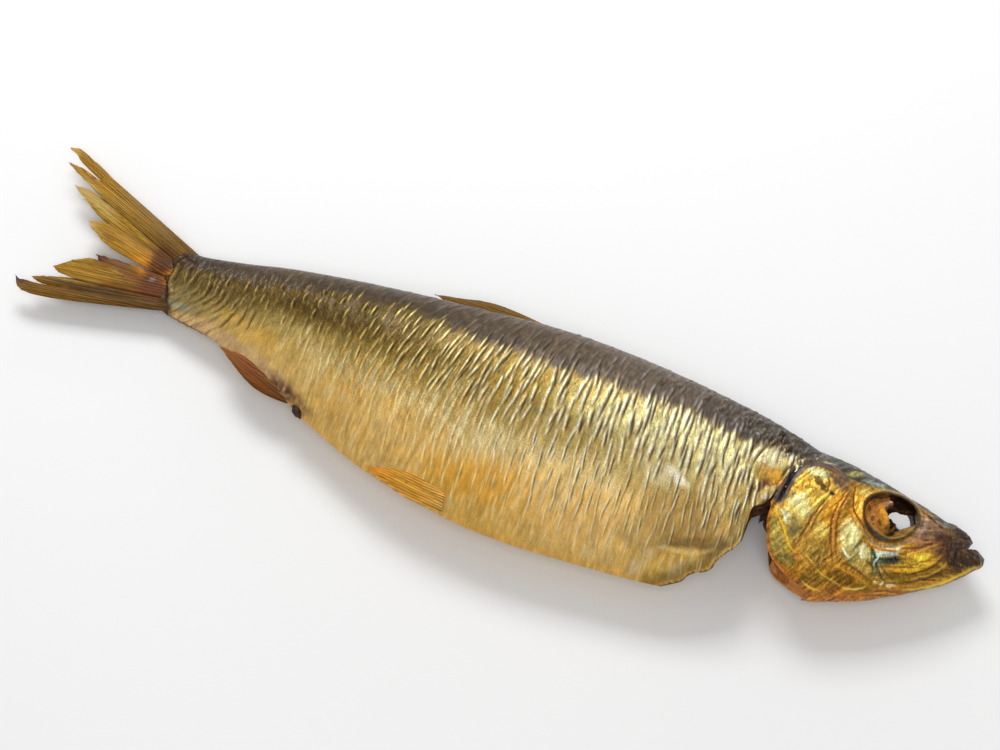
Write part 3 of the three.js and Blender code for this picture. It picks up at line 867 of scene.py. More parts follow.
# Long folds of the stalk's skin. Each is a groove painted dark as shade, with a ridge on its tail side
# painted pale as a highlight.
STALK_FOLDS = [
    [(-91.8, 13.6), (-91.0, 10.5), (-90.8, 7.4), (-91.8, 4.6), (-94.1, 2.6), (-97.1, 1.3)],
    [(-87.9, 11.4), (-87.8, 8.7), (-88.4, 6.0), (-90.2, 3.8), (-92.0, 2.2)],
    [(-83.6, 9.0), (-83.9, 6.7), (-84.3, 4.6), (-85.9, 2.4), (-87.5, 1.0)],
    [(-95.3, 13.5), (-96.1, 10.4), (-96.7, 7.6), (-98.2, 5.9)],
    [(-99.1, 12.9), (-98.7, 10.2), (-98.6, 8.0)],
    [(-102.5, 12.5), (-102.8, 8.2), (-103.0, 5.6)],
    [(-80.1, 4.0), (-81.0, 1.8), (-82.3, -0.5), (-83.8, -2.3)],
    [(-77.3, 5.5), (-77.6, 2.2), (-78.7, -0.8)],
    [(-74.9, 5.3), (-74.8, 1.7), (-75.4, -1.2)],
    [(-80.4, 7.7), (-81.1, 5.4), (-81.6, 3.2)],
    [(-85.8, 7.9), (-86.3, 5.2), (-87.6, 3.0)],
    [(-93.4, 9.6), (-93.8, 7.0), (-95.2, 4.8), (-97.6, 3.4)],
]
# Folds at the stalk's end, broad, and painted dark as shade.
END_FOLDS = [
    [(-107.0, 14.2), (-105.2, 11.6), (-105.6, 8.4)],
    [(-105.8, 7.4), (-104.0, 4.6), (-102.6, 2.0)],
    [(-104.6, 16.6), (-101.2, 15.0), (-98.4, 14.2)],
    [(-106.4, 10.6), (-104.4, 9.4)],
]
for fold in STALK_FOLDS:
    ridge = [(x - 0.8, y - 0.3) for x, y in fold]
    TRUNK_LINES += [(fold, 0.36, -0.34, (62, 46, 18), 0.8), (ridge, 0.42, 0.30, (186, 160, 92), 0.55)]
TRUNK_LINES += [(fold, 0.5, -0.4, (44, 28, 16), 0.85) for fold in END_FOLDS]
TRUNK_LINES.append((STALK_END, 0.5, -0.3, (40, 30, 24), 0.6))


def front_paint(paint, x, y, fine):
    """The bare blotch with its painted highlight, the mark of the pectoral fin with painted shade and a
    painted highlight, the shoulder and the flap's torn edge.
    """
    paint = patches(paint, x + 0.8 * fine, y + 0.6 * fine, TRUNK_PATCHES)
    flap = near_line(*unlean(x, y), [*FLAP_EDGE, CUT_TOP])[0]
    return layers(
        paint,
        (OLIVE_GOLD, 0.5 * (1 - ramp(flap + 1.5 * fine, 2.0, 6.0))),
        (FLAP_GOLD, 0.8 * (1 - ramp(flap + 0.5 * fine, 0.5, 1.5))),
        (BARK, 0.9 * (1 - ramp(flap + 0.25 * fine, 0.2, 0.6))),
    )


def unlean(x, y):
    """Where a place on the upper skin lies in the plan of the leaning flap cut."""
    slide = FLAP_LEAN * (trunk_form.height(x, y) - PRISM_MIDDLE)
    return x + PRISM_SKEW * slide, y - slide


def back_paint(x, edge, mottle):
    """The back's brown, more violet towards the head and darker low down behind."""
    back = mix(np.array(BACK_BROWN, float), np.array(BACK_VIOLET, float), ramp(x, -30, 60)[:, None])
    low_back = (1 - ramp(edge - back_edge(x), 0.5, 6)) * band(x, -72, -8, 14)
    return layer(back, LOW_BACK, 0.5 * low_back) * (1 + 0.2 * mottle[:, None])


def trunk_paint(skin, drawn):
    """The trunk's colours, and where it is dark."""
    x, y, s, down = skin.x, skin.y, skin.s, skin.way
    patchy = Grain(11).rough(x / 14, y / 9)
    fine = Grain(12).rough(x / 3.0, down / 2.0)
    streaky = Grain(13).rough(x + scale_slant(x, s) * down, down / 3.2)
    mottle = Grain(14).rough(x, down, 3)
    paint = flank_paint(x, y, s, patchy, fine, streaky, mottle)
    paint = rear_paint(paint, x, y, s, fine, mottle)
    edge = y + 1.1 * fine + 2.0 * streaky - 2.0 * drawn["lip_highlight"]
    below_back = band(edge - back_edge(x), -9, -0.5, 2) * band(x, -62, -26, 10)
    dark = ramp(edge, back_edge(x) - 2.0, back_edge(x) + 2.2)
    paint = layers(
        paint,
        (BELOW_BACK, 0.55 * below_back * (1 + 1.2 * mottle)),
        (back_paint(x, edge, mottle), 0.97 * dark),
        (NAPE_BLACK, 0.8 * dark * ramp(x, 44, 82)),
        (STALK_BLACK, 0.7 * dark * (1 - ramp(x, -96, -74))),
    )
    paint = front_paint(paint, x, y, fine)
    # Painted highlights on the grooves' lips, pale gold behind and near white in front.
    lip = mix(np.array(LIP_GOLD_HIGHLIGHT, float), np.array(LIP_HIGHLIGHT, float), ramp(x, -45, 15)[:, None])
    bright = 1.1 * drawn["lip_highlight"] * (1 - dark) * mix(0.5, 1.0, ramp(x, -60, -25))
    specks = ramp(Grain(15)(x / 0.9, y / 0.7), 0.92, 0.98) * (1 - dark)
    paint = layers(
        mix(paint, lip, bright[:, None]),
        (VEIN_ORANGE, mix(0.7, 0.4, ramp(x, -20, 30)) * drawn["vein"] * (1 - dark)),
        # Painted bluish glints on the lips of the dark back's grooves.
        (LILAC_GLINT, mix(0.45, 0.9, ramp(x, 10, 60)) * drawn["lip_highlight"] * dark**4),
        # Painted shade in the grooves.
        (GROOVE_SHADE, 1.05 * drawn["groove"]),
        (SPECK_ORANGE, 0.7 * specks),
    )
    soft = ramp(s, 0.4, 0.6)
    grain = (0.22 - 0.17 * soft) * mottle + (0.08 + 0.04 * soft) * streaky
    return paint * (1 + grain)[:, None], dark


# Where the skin folds over the tail fin's root.
ROOT_FOLD = [(-101.5, 17.0), (-103.5, 12.5), (-103.8, 7), (-102, 1.5)]


def trunk_heights(skin, drawn):
    x, y = skin.x, skin.y
    slow = Grain(21).rough(x / 16, y / 12, 3)
    crumple = Grain(22).rough(x / 1.3, skin.way / 5.0, 3)
    heights = drawn * ramp(skin.way, 0.3, 5.0) + 0.22 * slow + 0.05 * crumple
    fold = near_line(x, y, ROOT_FOLD)[0]
    heights += 0.30 * bell(fold, 0.7) - 0.2 * bell(fold - 1.3, 0.5)
    return heights * ramp(x, skin.form.start, skin.form.start + 2)


def draw_lines(skin, lines, heights, paint, seed):
    """Ridges and grooves along lines, each with its own colour."""
    wobble = 1 + 0.3 * Grain(seed).rough(skin.x / 1.2, skin.y / 1.2)
    wave = 0.22 * Grain(seed + 1).rough(skin.x / 2.2, skin.y / 2.2)
    for points, width, high, colour, strength in lines:
        distance, along, _ = near_line(skin.x + wave, skin.y - wave, points)
        taper = np.clip(np.sin(np.pi * np.clip(along, 0.02, 0.98)), 0, 1) ** 0.4
        trace = bell(distance, width * wobble) * taper
        heights += high * trace
        paint = layer(paint, colour, strength * trace)
    return heights, paint


# For each side of the trunk: the seed of its random marks, and how much broader its scale pockets are.
FLANKS = [(1, 31, 1.0), (-1, 51, 2.2)]


def make_trunk():
    skin = Skin(trunk_form, TRUNK_COLUMNS, TRUNK_UPPER_ROWS, TRUNK_LOWER_ROWS, scale_slant)
    middle = trunk_form.mid(skin.x)
    skin.points[:, 2] = mix(middle, skin.points[:, 2], mix(0.35, 1.0, ramp(skin.x, -108, -102)))
    drawn = {key: np.zeros(len(skin.x)) for key in MARKS}
    for side, seed, coarse in FLANKS:
        canvas = draw_flank(skin.form, seed, coarse)
        flank = skin.side == side
        for key in MARKS:
            drawn[key][flank] = canvas.read(key, skin.x[flank], skin.way[flank])
    paint, dark = trunk_paint(skin, drawn)
    heights = trunk_heights(skin, drawn["height"])
    heights, paint = draw_lines(skin, TRUNK_LINES, heights, paint, 73)
    metal = np.clip(0.6 - 0.5 * dark - 0.35 * ramp(skin.s, 0.55, 0.8), 0, 1) * (1 - 0.7 * drawn["groove"])
    return skin.build("trunk", heights, paint, {"metal": metal, "own": np.ones(len(skin.x))})


# ================================================================ the head
# The head's painted colours are spread out from this middle one.
HEAD_MIDDLE, HEAD_CONTRAST = np.array((150.0, 118.0, 60.0)), 1.25
HEAD_TOP = (94, 84, 66)
TEAL = (146, 160, 140)
CAP_CREAM = (216, 208, 142)
PLATE_CREAM = (236, 216, 150)
PLATE_GOLD = (222, 180, 76)
PLATE_OLIVE = (134, 114, 56)
OLIVE_LIGHT = (170, 146, 66)
AMBER = (216, 150, 44)
CHEEK_PALE = (238, 218, 144)
CHEEK_GREEN = (162, 154, 92)
STREAK_GREEN = (78, 82, 52)
INK = (60, 58, 40)
# Silver skin with a painted highlight:
SILVER_SHEEN = (212, 216, 188)
MAXILLA = (206, 162, 46)
JAW_GOLD = (164, 126, 38)
SNOUT = (132, 100, 70)
SNOUT_DARK = (84, 56, 34)
LIP_BLACK = (78, 58, 36)
LIP_GREY = (156, 130, 98)
THROAT = (178, 114, 34)
LINE_BROWN = (112, 64, 24)
LINE_DARK = (74, 56, 40)
LINE_GOLD = (232, 186, 52)
LINE_ORANGE = (196, 118, 26)
LINE_PINK = (170, 138, 104)
MEMBRANE = (88, 70, 52)
RIM_GREY = (104, 94, 80)
HEAD_GOLD = (168, 124, 40)
HEM_ORANGE = (176, 112, 40)
# A painted shadow round the eye socket:
RIM_SHADOW = (70, 48, 20)

# Patches of colour: the middle, half sizes, turn, colour and how strong it is.
HEAD_PATCHES = [
    ((95.0, 6.0), (8.0, 10.0), 0, PLATE_GOLD, 0.9),
    ((95.2, 14.4), (3.4, 2.0), -5, CAP_CREAM, 0.95),
    ((92.6, 8.6), (2.6, 2.4), 0, (226, 170, 62), 0.6),
    ((92.4, 4.2), (3.2, 2.6), 20, PLATE_CREAM, 0.8),
    ((95.2, 1.6), (2.6, 1.6), 40, PLATE_CREAM, 0.7),
    ((96.4, 11.9), (2.1, 0.75), -30, (112, 84, 34), 0.9),
    ((97.6, 10.5), (1.3, 0.5), -30, (104, 78, 34), 0.8),
    ((95.5, 9.3), (1.6, 0.45), -35, (140, 104, 44), 0.6),
    ((94.2, -3.4), (2.0, 3.4), 12, PLATE_OLIVE, 0.95),
    ((91.2, -1.0), (0.9, 2.2), 35, (196, 190, 140), 0.8),
    ((89.6, -6.0), (2.4, 4.6), 22, OLIVE_LIGHT, 0.9),
    ((92.2, -10.4), (3.4, 3.6), 30, OLIVE_LIGHT, 0.9),
    ((91.6, -8.6), (2.0, 2.6), 30, PLATE_OLIVE, 0.7),
    ((95.6, -12.6), (2.6, 1.6), 10, PLATE_OLIVE, 0.6),
    ((102.4, 5.0), (2.2, 6.5), -6, AMBER, 0.9),
    ((101.6, -1.2), (2.0, 2.8), -4, (226, 192, 100), 0.75),
    ((101.8, -7.0), (3.2, 3.2), 0, (148, 116, 40), 0.9),
    ((110.6, -11.0), (5.6, 1.5), -2, (140, 100, 28), 0.9),
    ((102.4, 14.4), (2.6, 1.9), -30, (134, 106, 78), 0.85),
    ((103.2, 12.2), (1.6, 0.9), -20, (222, 168, 70), 0.7),
    ((105.0, -15.0), (7.0, 1.6), 4, (150, 112, 36), 0.8),
    ((109.5, 9.5), (2.6, 5.5), 10, (226, 166, 56), 0.9),
    ((110.6, 14.6), (2.2, 1.6), 0, (230, 196, 104), 0.8),
    ((109.6, 0.2), (2.8, 4.6), 8, CHEEK_PALE, 0.95),
    ((111.8, -3.6), (3.4, 2.4), 12, CHEEK_GREEN, 0.7),
    ((115.2, -2.6), (3.2, 1.9), -10, (232, 216, 142), 0.9),
    ((114.6, -6.0), (4.6, 1.5), -6, (160, 142, 72), 0.8),
    ((119.4, -6.0), (4.4, 2.0), 0, (186, 146, 66), 0.8),
    # Silver skin painted with a highlight, and dark ink below it.
    ((118.8, -1.0), (1.3, 1.4), -40, SILVER_SHEEN, 0.85),
    ((121.4, 0.2), (3.2, 1.1), 28, SILVER_SHEEN, 1.0),
    ((122.6, -1.6), (3.0, 1.1), 36, INK, 0.95),
    ((120.4, -2.9), (1.6, 0.9), 10, (56, 66, 50), 0.9),
    # A painted highlight on the ridge below the eye.
    ((123.6, 2.7), (1.5, 0.6), 35, (250, 214, 124), 0.85),
    ((120.0, -3.9), (1.8, 1.1), -30, (110, 108, 72), 0.6),
    ((130.2, 1.6), (6.4, 2.6), 42, MAXILLA, 0.95),
    ((130.4, 1.9), (2.6, 1.2), 42, (236, 198, 70), 0.8),
    ((129.0, -4.4), (8.6, 1.5), 37, JAW_GOLD, 0.9),
    ((136.0, 1.2), (5.6, 1.3), 40, (150, 116, 40), 0.8),
    ((131.0, 10.8), (5.0, 4.6), 20, SNOUT, 0.9),
    ((127.4, 11.4), (1.8, 3.4), -6, (160, 128, 94), 0.75),
    ((135.6, 9.0), (3.6, 4.4), 10, SNOUT_DARK, 0.85),
    ((128.8, 6.6), (4.4, 1.1), 20, (156, 112, 72), 0.8),
    ((132.0, 6.6), (3.6, 1.6), 40, (150, 104, 44), 0.7),
    ((140.6, 6.6), (2.4, 3.4), -20, (80, 54, 32), 0.9),
    ((120.6, -8.5), (0.7, 0.45), 0, (240, 208, 150), 0.9),
    ((122.8, -7.8), (0.6, 0.4), 30, (240, 210, 170), 0.9),
    ((125.4, -7.5), (1.4, 0.65), 20, (236, 214, 190), 0.95),
    ((139.9, 11.0), (1.3, 1.0), 0, (120, 84, 52), 0.9),
    ((141.0, 11.3), (0.5, 0.4), 0, (214, 130, 30), 0.9),
]

# Lines: the points, the width, the height (a groove is negative), the colour and how strong it is.
HEAD_LINES = [
    # the rim and the folds of the skin behind the gill cover
    ([(87.6, 1.0), (89.0, 4.7), (89.2, 9.4), (90.0, 12.4), (91.6, 14.7), (93.4, 16.2)],
     0.41, 0.19, RIM_GREY, 0.8),
    ([(86.9, 0.8), (88.0, 4.7), (88.3, 9.5), (89.2, 13.0), (90.8, 15.4), (92.8, 17.0)],
     0.33, -0.34, (26, 18, 18), 1.0),
    ([(91.6, 14.7), (93.4, 16.3), (96.2, 17.0), (99.6, 16.8), (102.4, 15.8)],
     0.45, 0.22, (96, 70, 62), 0.9),
    ([(92.2, 16.6), (95.0, 17.9), (98.6, 18.1), (102.0, 17.4), (104.6, 16.2)], 0.29, -0.22, LINE_DARK, 1.0),
    ([(98.4, 17.9), (100.0, 17.2), (101.6, 16.4)], 0.3, 0.09, (196, 128, 60), 0.4),
    ([(97.6, 15.8), (99.6, 15.2), (101.8, 14.0), (103.4, 12.6)], 0.74, 0.06, (92, 70, 52), 0.75),
    ([(103.0, 19.9), (105.6, 20.9), (108.0, 21.6)], 0.29, -0.12, LINE_DARK, 0.9),
    ([(103.2, 17.4), (106.4, 17.4), (109.6, 17.7), (112.2, 18.2)], 0.33, -0.12, LINE_DARK, 0.8),
    ([(86.9, 1.6), (87.9, 3.3), (88.5, 6.7), (89.0, 10.5), (89.7, 13.4), (90.9, 15.3), (92.9, 16.8),
      (95.6, 18.0), (98.6, 18.2), (101.3, 17.2), (104.0, 16.1), (105.8, 15.1)],
     0.85, 0.12, (104, 82, 64), 0.9),
    ([(87.3, 1.5), (87.9, 4.9), (88.4, 8.0), (88.9, 11.2), (90.0, 14.2)], 0.42, -0.5, (24, 17, 18), 1.0),
    ([(89.6, 9.0), (90.3, 12.0), (91.6, 14.2)], 0.35, 0.15, (150, 138, 140), 0.7),
    ([(100.6, 17.8), (102.5, 19.9), (104.6, 22.1)], 0.5, 0.15, (84, 66, 50), 0.85),
    ([(106.6, 18.0), (108.7, 19.6), (110.6, 21.2)], 0.4, 0.12, (84, 66, 50), 0.85),
    ([(98.9, 18.5), (100.8, 18.1), (102.5, 17.2)], 0.26, 0.1, (200, 130, 56), 0.55),
    ([(96.1, 18.8), (98.9, 19.8)], 0.4, 0.05, (214, 206, 130), 0.8),
    ([(103.4, 16.4), (102.6, 13.8), (102.0, 11.4)], 0.7, 0.05, (112, 86, 60), 0.7),
    # the upper plate of the gill cover
    ([(97.8, 15.3), (99.2, 13.1), (99.5, 10.6), (98.9, 9.2)], 0.33, -0.15, (104, 70, 40), 0.85),
    ([(100.2, 10.2), (101.9, 9.8)], 0.61, -0.19, (48, 34, 24), 1.0),
    ([(100.2, 8.3), (98.9, 4.1), (97.9, 1.0), (97.3, -3.0), (96.6, -5.8), (96.1, -8.6)],
     0.31, -0.24, LINE_BROWN, 1.0),
    ([(99.4, 8.6), (97.8, 4.6), (96.6, 1.4), (95.9, -2.0)], 0.37, 0.12, (168, 146, 70), 0.6),
    ([(100.6, 7.2), (99.7, 3.7), (99.0, 0.7), (98.5, -2.5), (97.5, -4.9)], 0.26, -0.15, (128, 78, 30), 0.9),
    ([(96.0, 9.6), (94.0, 8.6), (92.4, 9.2)], 0.29, -0.09, (150, 110, 50), 0.7),
    ([(98.6, 8.8), (96.2, 7.2), (94.2, 4.6)], 0.29, -0.09, (140, 100, 48), 0.5),
    # the struts of the lower plates, with painted highlights along them
    ([(87.3, -1.0), (89.1, -2.2), (91.7, -4.9), (93.6, -7.4), (95.7, -9.4), (97.1, -9.6)],
     0.41, 0.24, LINE_GOLD, 0.9),
    # A painted highlight beside the strut.
    ([(88.2, 0.2), (90.0, -0.8), (91.5, -3.2)], 0.37, 0.15, (232, 226, 190), 0.85),
    ([(96.4, -9.2), (97.6, -9.8), (98.3, -12.4), (99.2, -15.4)], 0.37, 0.14, LINE_ORANGE, 0.8),
    ([(88.4, -8.2), (89.9, -11.4), (92.2, -13.4), (95.6, -14.6), (99.0, -15.4)],
     0.37, -0.12, LINE_ORANGE, 0.8),
    ([(88.7, -10.0), (90.2, -12.7), (92.4, -14.3), (95.6, -15.5)], 0.25, 0.12, (214, 168, 90), 0.6),
    # A painted highlight along the fan.
    ([(97.7, -8.5), (101.4, -10.2), (104.5, -12.0), (107.9, -12.8), (111.8, -13.1), (113.6, -13.1)],
     0.24, 0.11, (236, 200, 80), 0.8),
    ([(98.2, -7.2), (99.6, -9.6), (101.8, -11.0), (105.2, -12.0)], 0.29, -0.1, (150, 100, 26), 0.7),
    # Two painted highlights along the lower edge.
    ([(101.0, -15.8), (103.7, -16.5), (107.0, -16.2)], 0.22, 0.11, (250, 216, 84), 0.95),
    ([(112.4, -13.4), (116.0, -12.3), (117.8, -11.3), (118.8, -10.0)], 0.22, 0.11, (244, 222, 110), 0.95),
    # the bent strut in front of the gill cover
    ([(105.6, 14.0), (104.8, 10.4), (104.2, 6.5), (104.2, 2.7), (105.3, -1.9), (106.9, -5.6),
      (108.0, -7.7)], 0.42, 0.08, (200, 138, 58), 0.75),
    ([(105.2, 14.1), (104.2, 10.1), (103.6, 6.2), (103.5, 2.4), (104.5, -1.8), (106.1, -5.5),
      (107.5, -8.1)], 0.26, -0.22, LINE_BROWN, 1.0),
    ([(106.1, 14.1), (105.4, 10.7), (104.8, 6.8), (105.0, 3.0), (106.2, -2.0), (107.7, -5.8),
      (108.7, -7.3)], 0.24, -0.2, LINE_BROWN, 0.95),
    ([(107.6, -8.3), (109.4, -9.0), (112.2, -9.2), (115.7, -9.4), (118.3, -9.7), (120.8, -10.2)],
     0.44, 0.22, (216, 152, 44), 0.85),
    ([(109.1, -7.6), (111.8, -7.5), (114.7, -7.8), (117.8, -8.5)], 0.26, -0.14, LINE_BROWN, 0.8),
    ([(106.6, 14.9), (107.2, 11.5), (107.9, 8.8), (108.8, 7.1), (110.8, 5.5), (113.1, 3.4), (114.8, 2.1)],
     0.28, -0.2, LINE_BROWN, 1.0),
    ([(107.4, 14.8), (108.1, 11.6), (108.8, 9.2), (110.0, 7.6), (111.6, 6.2)],
     0.37, 0.14, (232, 170, 62), 0.7),
    ([(105.2, 8.6), (107.2, 6.8), (109.2, 4.8), (111.2, 2.6)], 0.28, -0.1, (180, 108, 30), 0.7),
    # the cheek's creases, with painted highlights on the pale ridges between them, and its silver fold
    ([(113.2, 0.4), (112.6, -1.4), (111.6, -3.6)], 0.37, -0.19, STREAK_GREEN, 0.95),
    ([(112.4, -1.4), (113.6, -4.0), (115.6, -6.2)], 0.26, -0.11, (150, 128, 70), 0.7),
    # A painted highlight on a pale ridge.
    ([(108.6, -3.7), (109.9, -4.8), (111.8, -5.8)], 0.4, 0.2, (250, 246, 216), 0.9),
    ([(109.6, 2.6), (109.2, -0.6), (110.4, -3.4)], 0.34, -0.16, (176, 160, 84), 0.7),
    # Painted highlights on two pale ridges.
    ([(110.9, 3.2), (110.5, 0.6), (111.2, -2.0)], 0.34, 0.18, (246, 232, 170), 0.8),
    ([(114.6, -0.2), (114.2, -2.4), (114.8, -4.8)], 0.4, 0.2, (240, 236, 190), 0.8),
    ([(116.1, -4.3), (118.2, -5.1), (119.9, -6.1)], 0.42, -0.2, STREAK_GREEN, 0.85),
    ([(116.6, -0.6), (118.1, -2.3), (119.4, -4.5), (120.2, -5.9)], 0.42, -0.3, (50, 58, 42), 1.0),
    ([(114.2, 1.0), (116.9, 0.0), (119.8, 0.1), (122.6, 1.4)], 0.45, 0.2, (246, 200, 110), 0.8),
    ([(116.6, -0.4), (117.4, -3.0), (118.8, -5.4), (119.0, -7.2)], 0.33, -0.19, STREAK_GREEN, 0.9),
    # A painted highlight on a pale ridge.
    ([(119.4, -1.2), (118.9, -3.0), (118.7, -4.8)], 0.28, 0.15, (228, 234, 220), 0.9),
    ([(119.6, -4.6), (121.4, -6.4), (123.4, -7.6)], 0.28, -0.12, (76, 70, 40), 0.9),
    ([(121.0, -4.2), (123.0, -5.4), (125.4, -5.8)], 0.28, -0.12, (84, 70, 36), 0.8),
    # below and before the eye
    ([(111.6, 3.6), (113.7, 1.9), (116.6, 0.9), (120.0, 1.5), (122.9, 2.7), (124.6, 4.5), (126.3, 6.4)],
     0.49, 0.24, LINE_PINK, 0.85),
    ([(114.3, 0.2), (117.3, -0.2), (121.4, 0.6), (124.2, 2.0), (124.9, 3.3)],
     0.31, -0.19, (190, 104, 30), 0.9),
    ([(126.6, 7.4), (128.6, 9.8), (129.2, 13.0), (128.0, 16.0)], 0.66, 0.12, LINE_PINK, 0.5),
    ([(124.9, 17.6), (128.1, 16.0), (131.4, 14.6), (134.9, 13.1)], 0.3, -0.2, (84, 60, 34), 0.95),
    ([(125.4, 16.4), (128.4, 14.8), (131.8, 13.4), (135.0, 12.0)], 0.33, 0.14, (150, 116, 84), 0.7),
    # the upper jaw's plates
    ([(124.5, 2.8), (129.2, 5.0), (132.3, 7.7), (135.2, 10.7)], 0.33, -0.15, LINE_BROWN, 0.85),
    ([(126.3, 1.0), (128.8, 3.4), (131.6, 5.9), (133.9, 8.5)], 0.31, 0.12, (206, 150, 60), 0.8),
    ([(126.8, -1.2), (128.9, 0.0), (131.6, 2.0), (134.4, 4.8), (136.4, 8.0)],
     0.28, -0.12, (130, 86, 30), 0.7),
    ([(127.3, -3.7), (131.5, -0.8), (134.9, 2.4), (136.9, 5.7)], 0.31, -0.2, LINE_BROWN, 0.95),
    ([(127.0, -2.6), (131.0, 0.0), (134.2, 3.0), (136.0, 6.0)], 0.28, 0.14, LINE_GOLD, 0.7),
    ([(128.5, -4.5), (133.2, -1.3), (136.6, 2.1), (138.6, 5.5)], 0.28, 0.12, (214, 170, 60), 0.8),
    ([(127.6, -5.6), (131.8, -3.4), (135.8, 0.2), (139.2, 4.0)], 0.28, -0.12, LINE_BROWN, 0.85),
    ([(129.0, -7.0), (133.2, -4.5), (136.9, -1.7), (140.4, 1.3), (143.8, 4.7), (146.8, 8.0)],
     0.34, 0.19, (226, 206, 70), 0.95),
    ([(128.0, -8.0), (132.8, -5.4), (137.0, -2.5), (141.0, 0.9), (144.6, 4.4)],
     0.25, -0.09, (130, 74, 26), 0.8),
    # the snout and the lips
    ([(140.1, 10.0), (139.5, 7.4), (140.3, 5.0)], 0.41, -0.25, (40, 28, 22), 0.9),
    ([(137.2, 12.6), (136.6, 10.0), (137.2, 6.8), (138.6, 4.4)], 0.33, -0.19, (74, 48, 30), 0.8),
    ([(134.2, 12.2), (135.5, 8.8), (134.9, 5.1)], 0.28, -0.12, (84, 58, 38), 0.7),
    ([(136.1, 13.2), (137.7, 9.5), (137.9, 5.3), (139.2, 3.8)], 0.3, -0.15, (72, 50, 34), 0.8),
]

# Patches on the dark top of the head.
TOP_PATCHES = [
    ((105.8, 19.2), (2.8, 1.0), 22, (146, 134, 62), 0.9),
    ((112.4, 18.7), (3.4, 1.1), 14, TEAL, 0.85),
    ((91.4, 18.2), (2.6, 0.9), 6, TEAL, 0.8),
    ((92.8, 18.9), (1.2, 0.7), 6, (206, 178, 80), 0.8),
]

# The lower edge of the dark top.
HEAD_EDGE = [(80, 14.0), (88, 15.6), (91.5, 16.6), (95, 17.2), (100, 17.4), (106, 17.0), (112, 18.4),
             (118, 19.6), (124, 18.6), (130, 16.0), (136, 14.2), (148, 12.5)]
head_edge = smooth_curve(*zip(*HEAD_EDGE))


# The head's streaks: how wide and long, and their angle and seed behind and in front.
STREAK_WIDTH, STREAK_LENGTH = 0.5, 5.0
REAR_STREAKS, FRONT_STREAKS = (62, 44), (38, 45)


def streaks_along(x, y, angle, seed):
    """Grain drawn out along one direction."""
    turn = math.radians(angle)
    along = x * math.cos(turn) + y * math.sin(turn)
    across = y * math.cos(turn) - x * math.sin(turn)
    return Grain(seed).rough(along / STREAK_LENGTH, across / STREAK_WIDTH, 3)


def head_streaks(x, y):
    """Fine streaks: down and back on the gill cover, along the jaw in front."""
    return mix(streaks_along(x, y, *REAR_STREAKS), streaks_along(x, y, *FRONT_STREAKS), ramp(x, 112, 122))


def lips(x, y, fine):
    """Where the dark lips are."""
    upper = ramp(x + 1.2 * fine, 136.2, 138.6) * ramp(y - 0.62 * (x - 139), 8.0, 10.0)
    hang = 1.2 * ramp(x, 142, 147)
    lower = ramp(x + 0.8 * fine, 140.4, 142.6) * ramp(y - 0.97 * (x - 139.1) + hang, 1.0, 2.6)
    return np.maximum(upper, lower)


def gill_edge_gap(skin):
    """How far the skin is from the lower edge of the gill covers."""
    return near_line(skin.x + gill_splay(skin.y, skin.points[:, 2]), skin.y, [CUT_TOP, *GILL_EDGE])[0]


def eye_gap(skin):
    """How far the skin is from the eye socket's edge."""
    return near_line(skin.x, skin.y, [*SOCKET_OPENING, SOCKET_OPENING[0]], 160)[0]


def head_paint(skin):
    """The head's colours, and where it is dark."""
    x, y, s = skin.x, skin.y, skin.s
    up = -skin.way
    warp = Grain(41).rough(x / 5, up / 5)
    fine = Grain(42).rough(x / 1.4, up / 1.4)
    speck = Grain(43).rough(x / 0.55, up / 0.55, 3)
    streaky = head_streaks(x, up)
    wx, wy = x + 0.8 * warp + 0.7 * fine, y + 0.8 * fine - 0.6 * streaky
    paint = patches(coat(HEAD_GOLD, len(x)), wx, wy, HEAD_PATCHES)
    dark = ramp(y + 0.9 * fine + 0.5 * warp, head_edge(x) - 0.7, head_edge(x) + 0.7)
    paint = layer(paint, np.array(HEAD_TOP, float) * (1 + 0.35 * fine[:, None]), dark)
    paint = patches(paint, wx, wy, TOP_PATCHES, 0.6)
    snout_tip = lips(x, y, fine)
    hem = near_line(x, y, GILL_COVER_EDGE)[0]
    hem = (1 - ramp(hem + 0.4 * fine, 2.2, 3.2)) * ramp(y, 0.5, 2.5)
    paint = layers(
        paint,
        (LIP_BLACK, 0.95 * snout_tip),
        (LIP_GREY, 0.55 * snout_tip * ramp(fine + 0.4 * speck, 0.2, 0.6)),
        (THROAT, 0.9 * ramp(s + 0.04 * warp, 0.88, 0.99)),
        (MEMBRANE, 0.95 * hem),
        (HEM_ORANGE, 0.8 * (1 - ramp(gill_edge_gap(skin), 0.4, 1.3))),
    )
    paint = paint * (1 + 0.20 * speck[:, None] + 0.16 * fine[:, None] + 0.38 * streaky[:, None])
    return paint, np.clip(dark + hem + snout_tip, 0, 1)


# The rough snout and its dull skin: the middle, the half sizes, the turn and how soft the edge is.
ROUGH_SNOUT = ((137, 11), (9, 7), 0, 0.4)
DULL_SNOUT = ((135, 9), (11, 7), 0, 0.4)
# Swellings of the head: the same, and how high they are.
HEAD_SWELLINGS = [
    ((94.6, 11.6), (4.4, 4.6), -10, 0.35, 0.35),
    ((130.5, 1.4), (7.0, 3.0), 40, 0.4, 0.5),
    ((110.0, 0.0), (3.6, 5.4), 10, 0.5, 0.35),
]


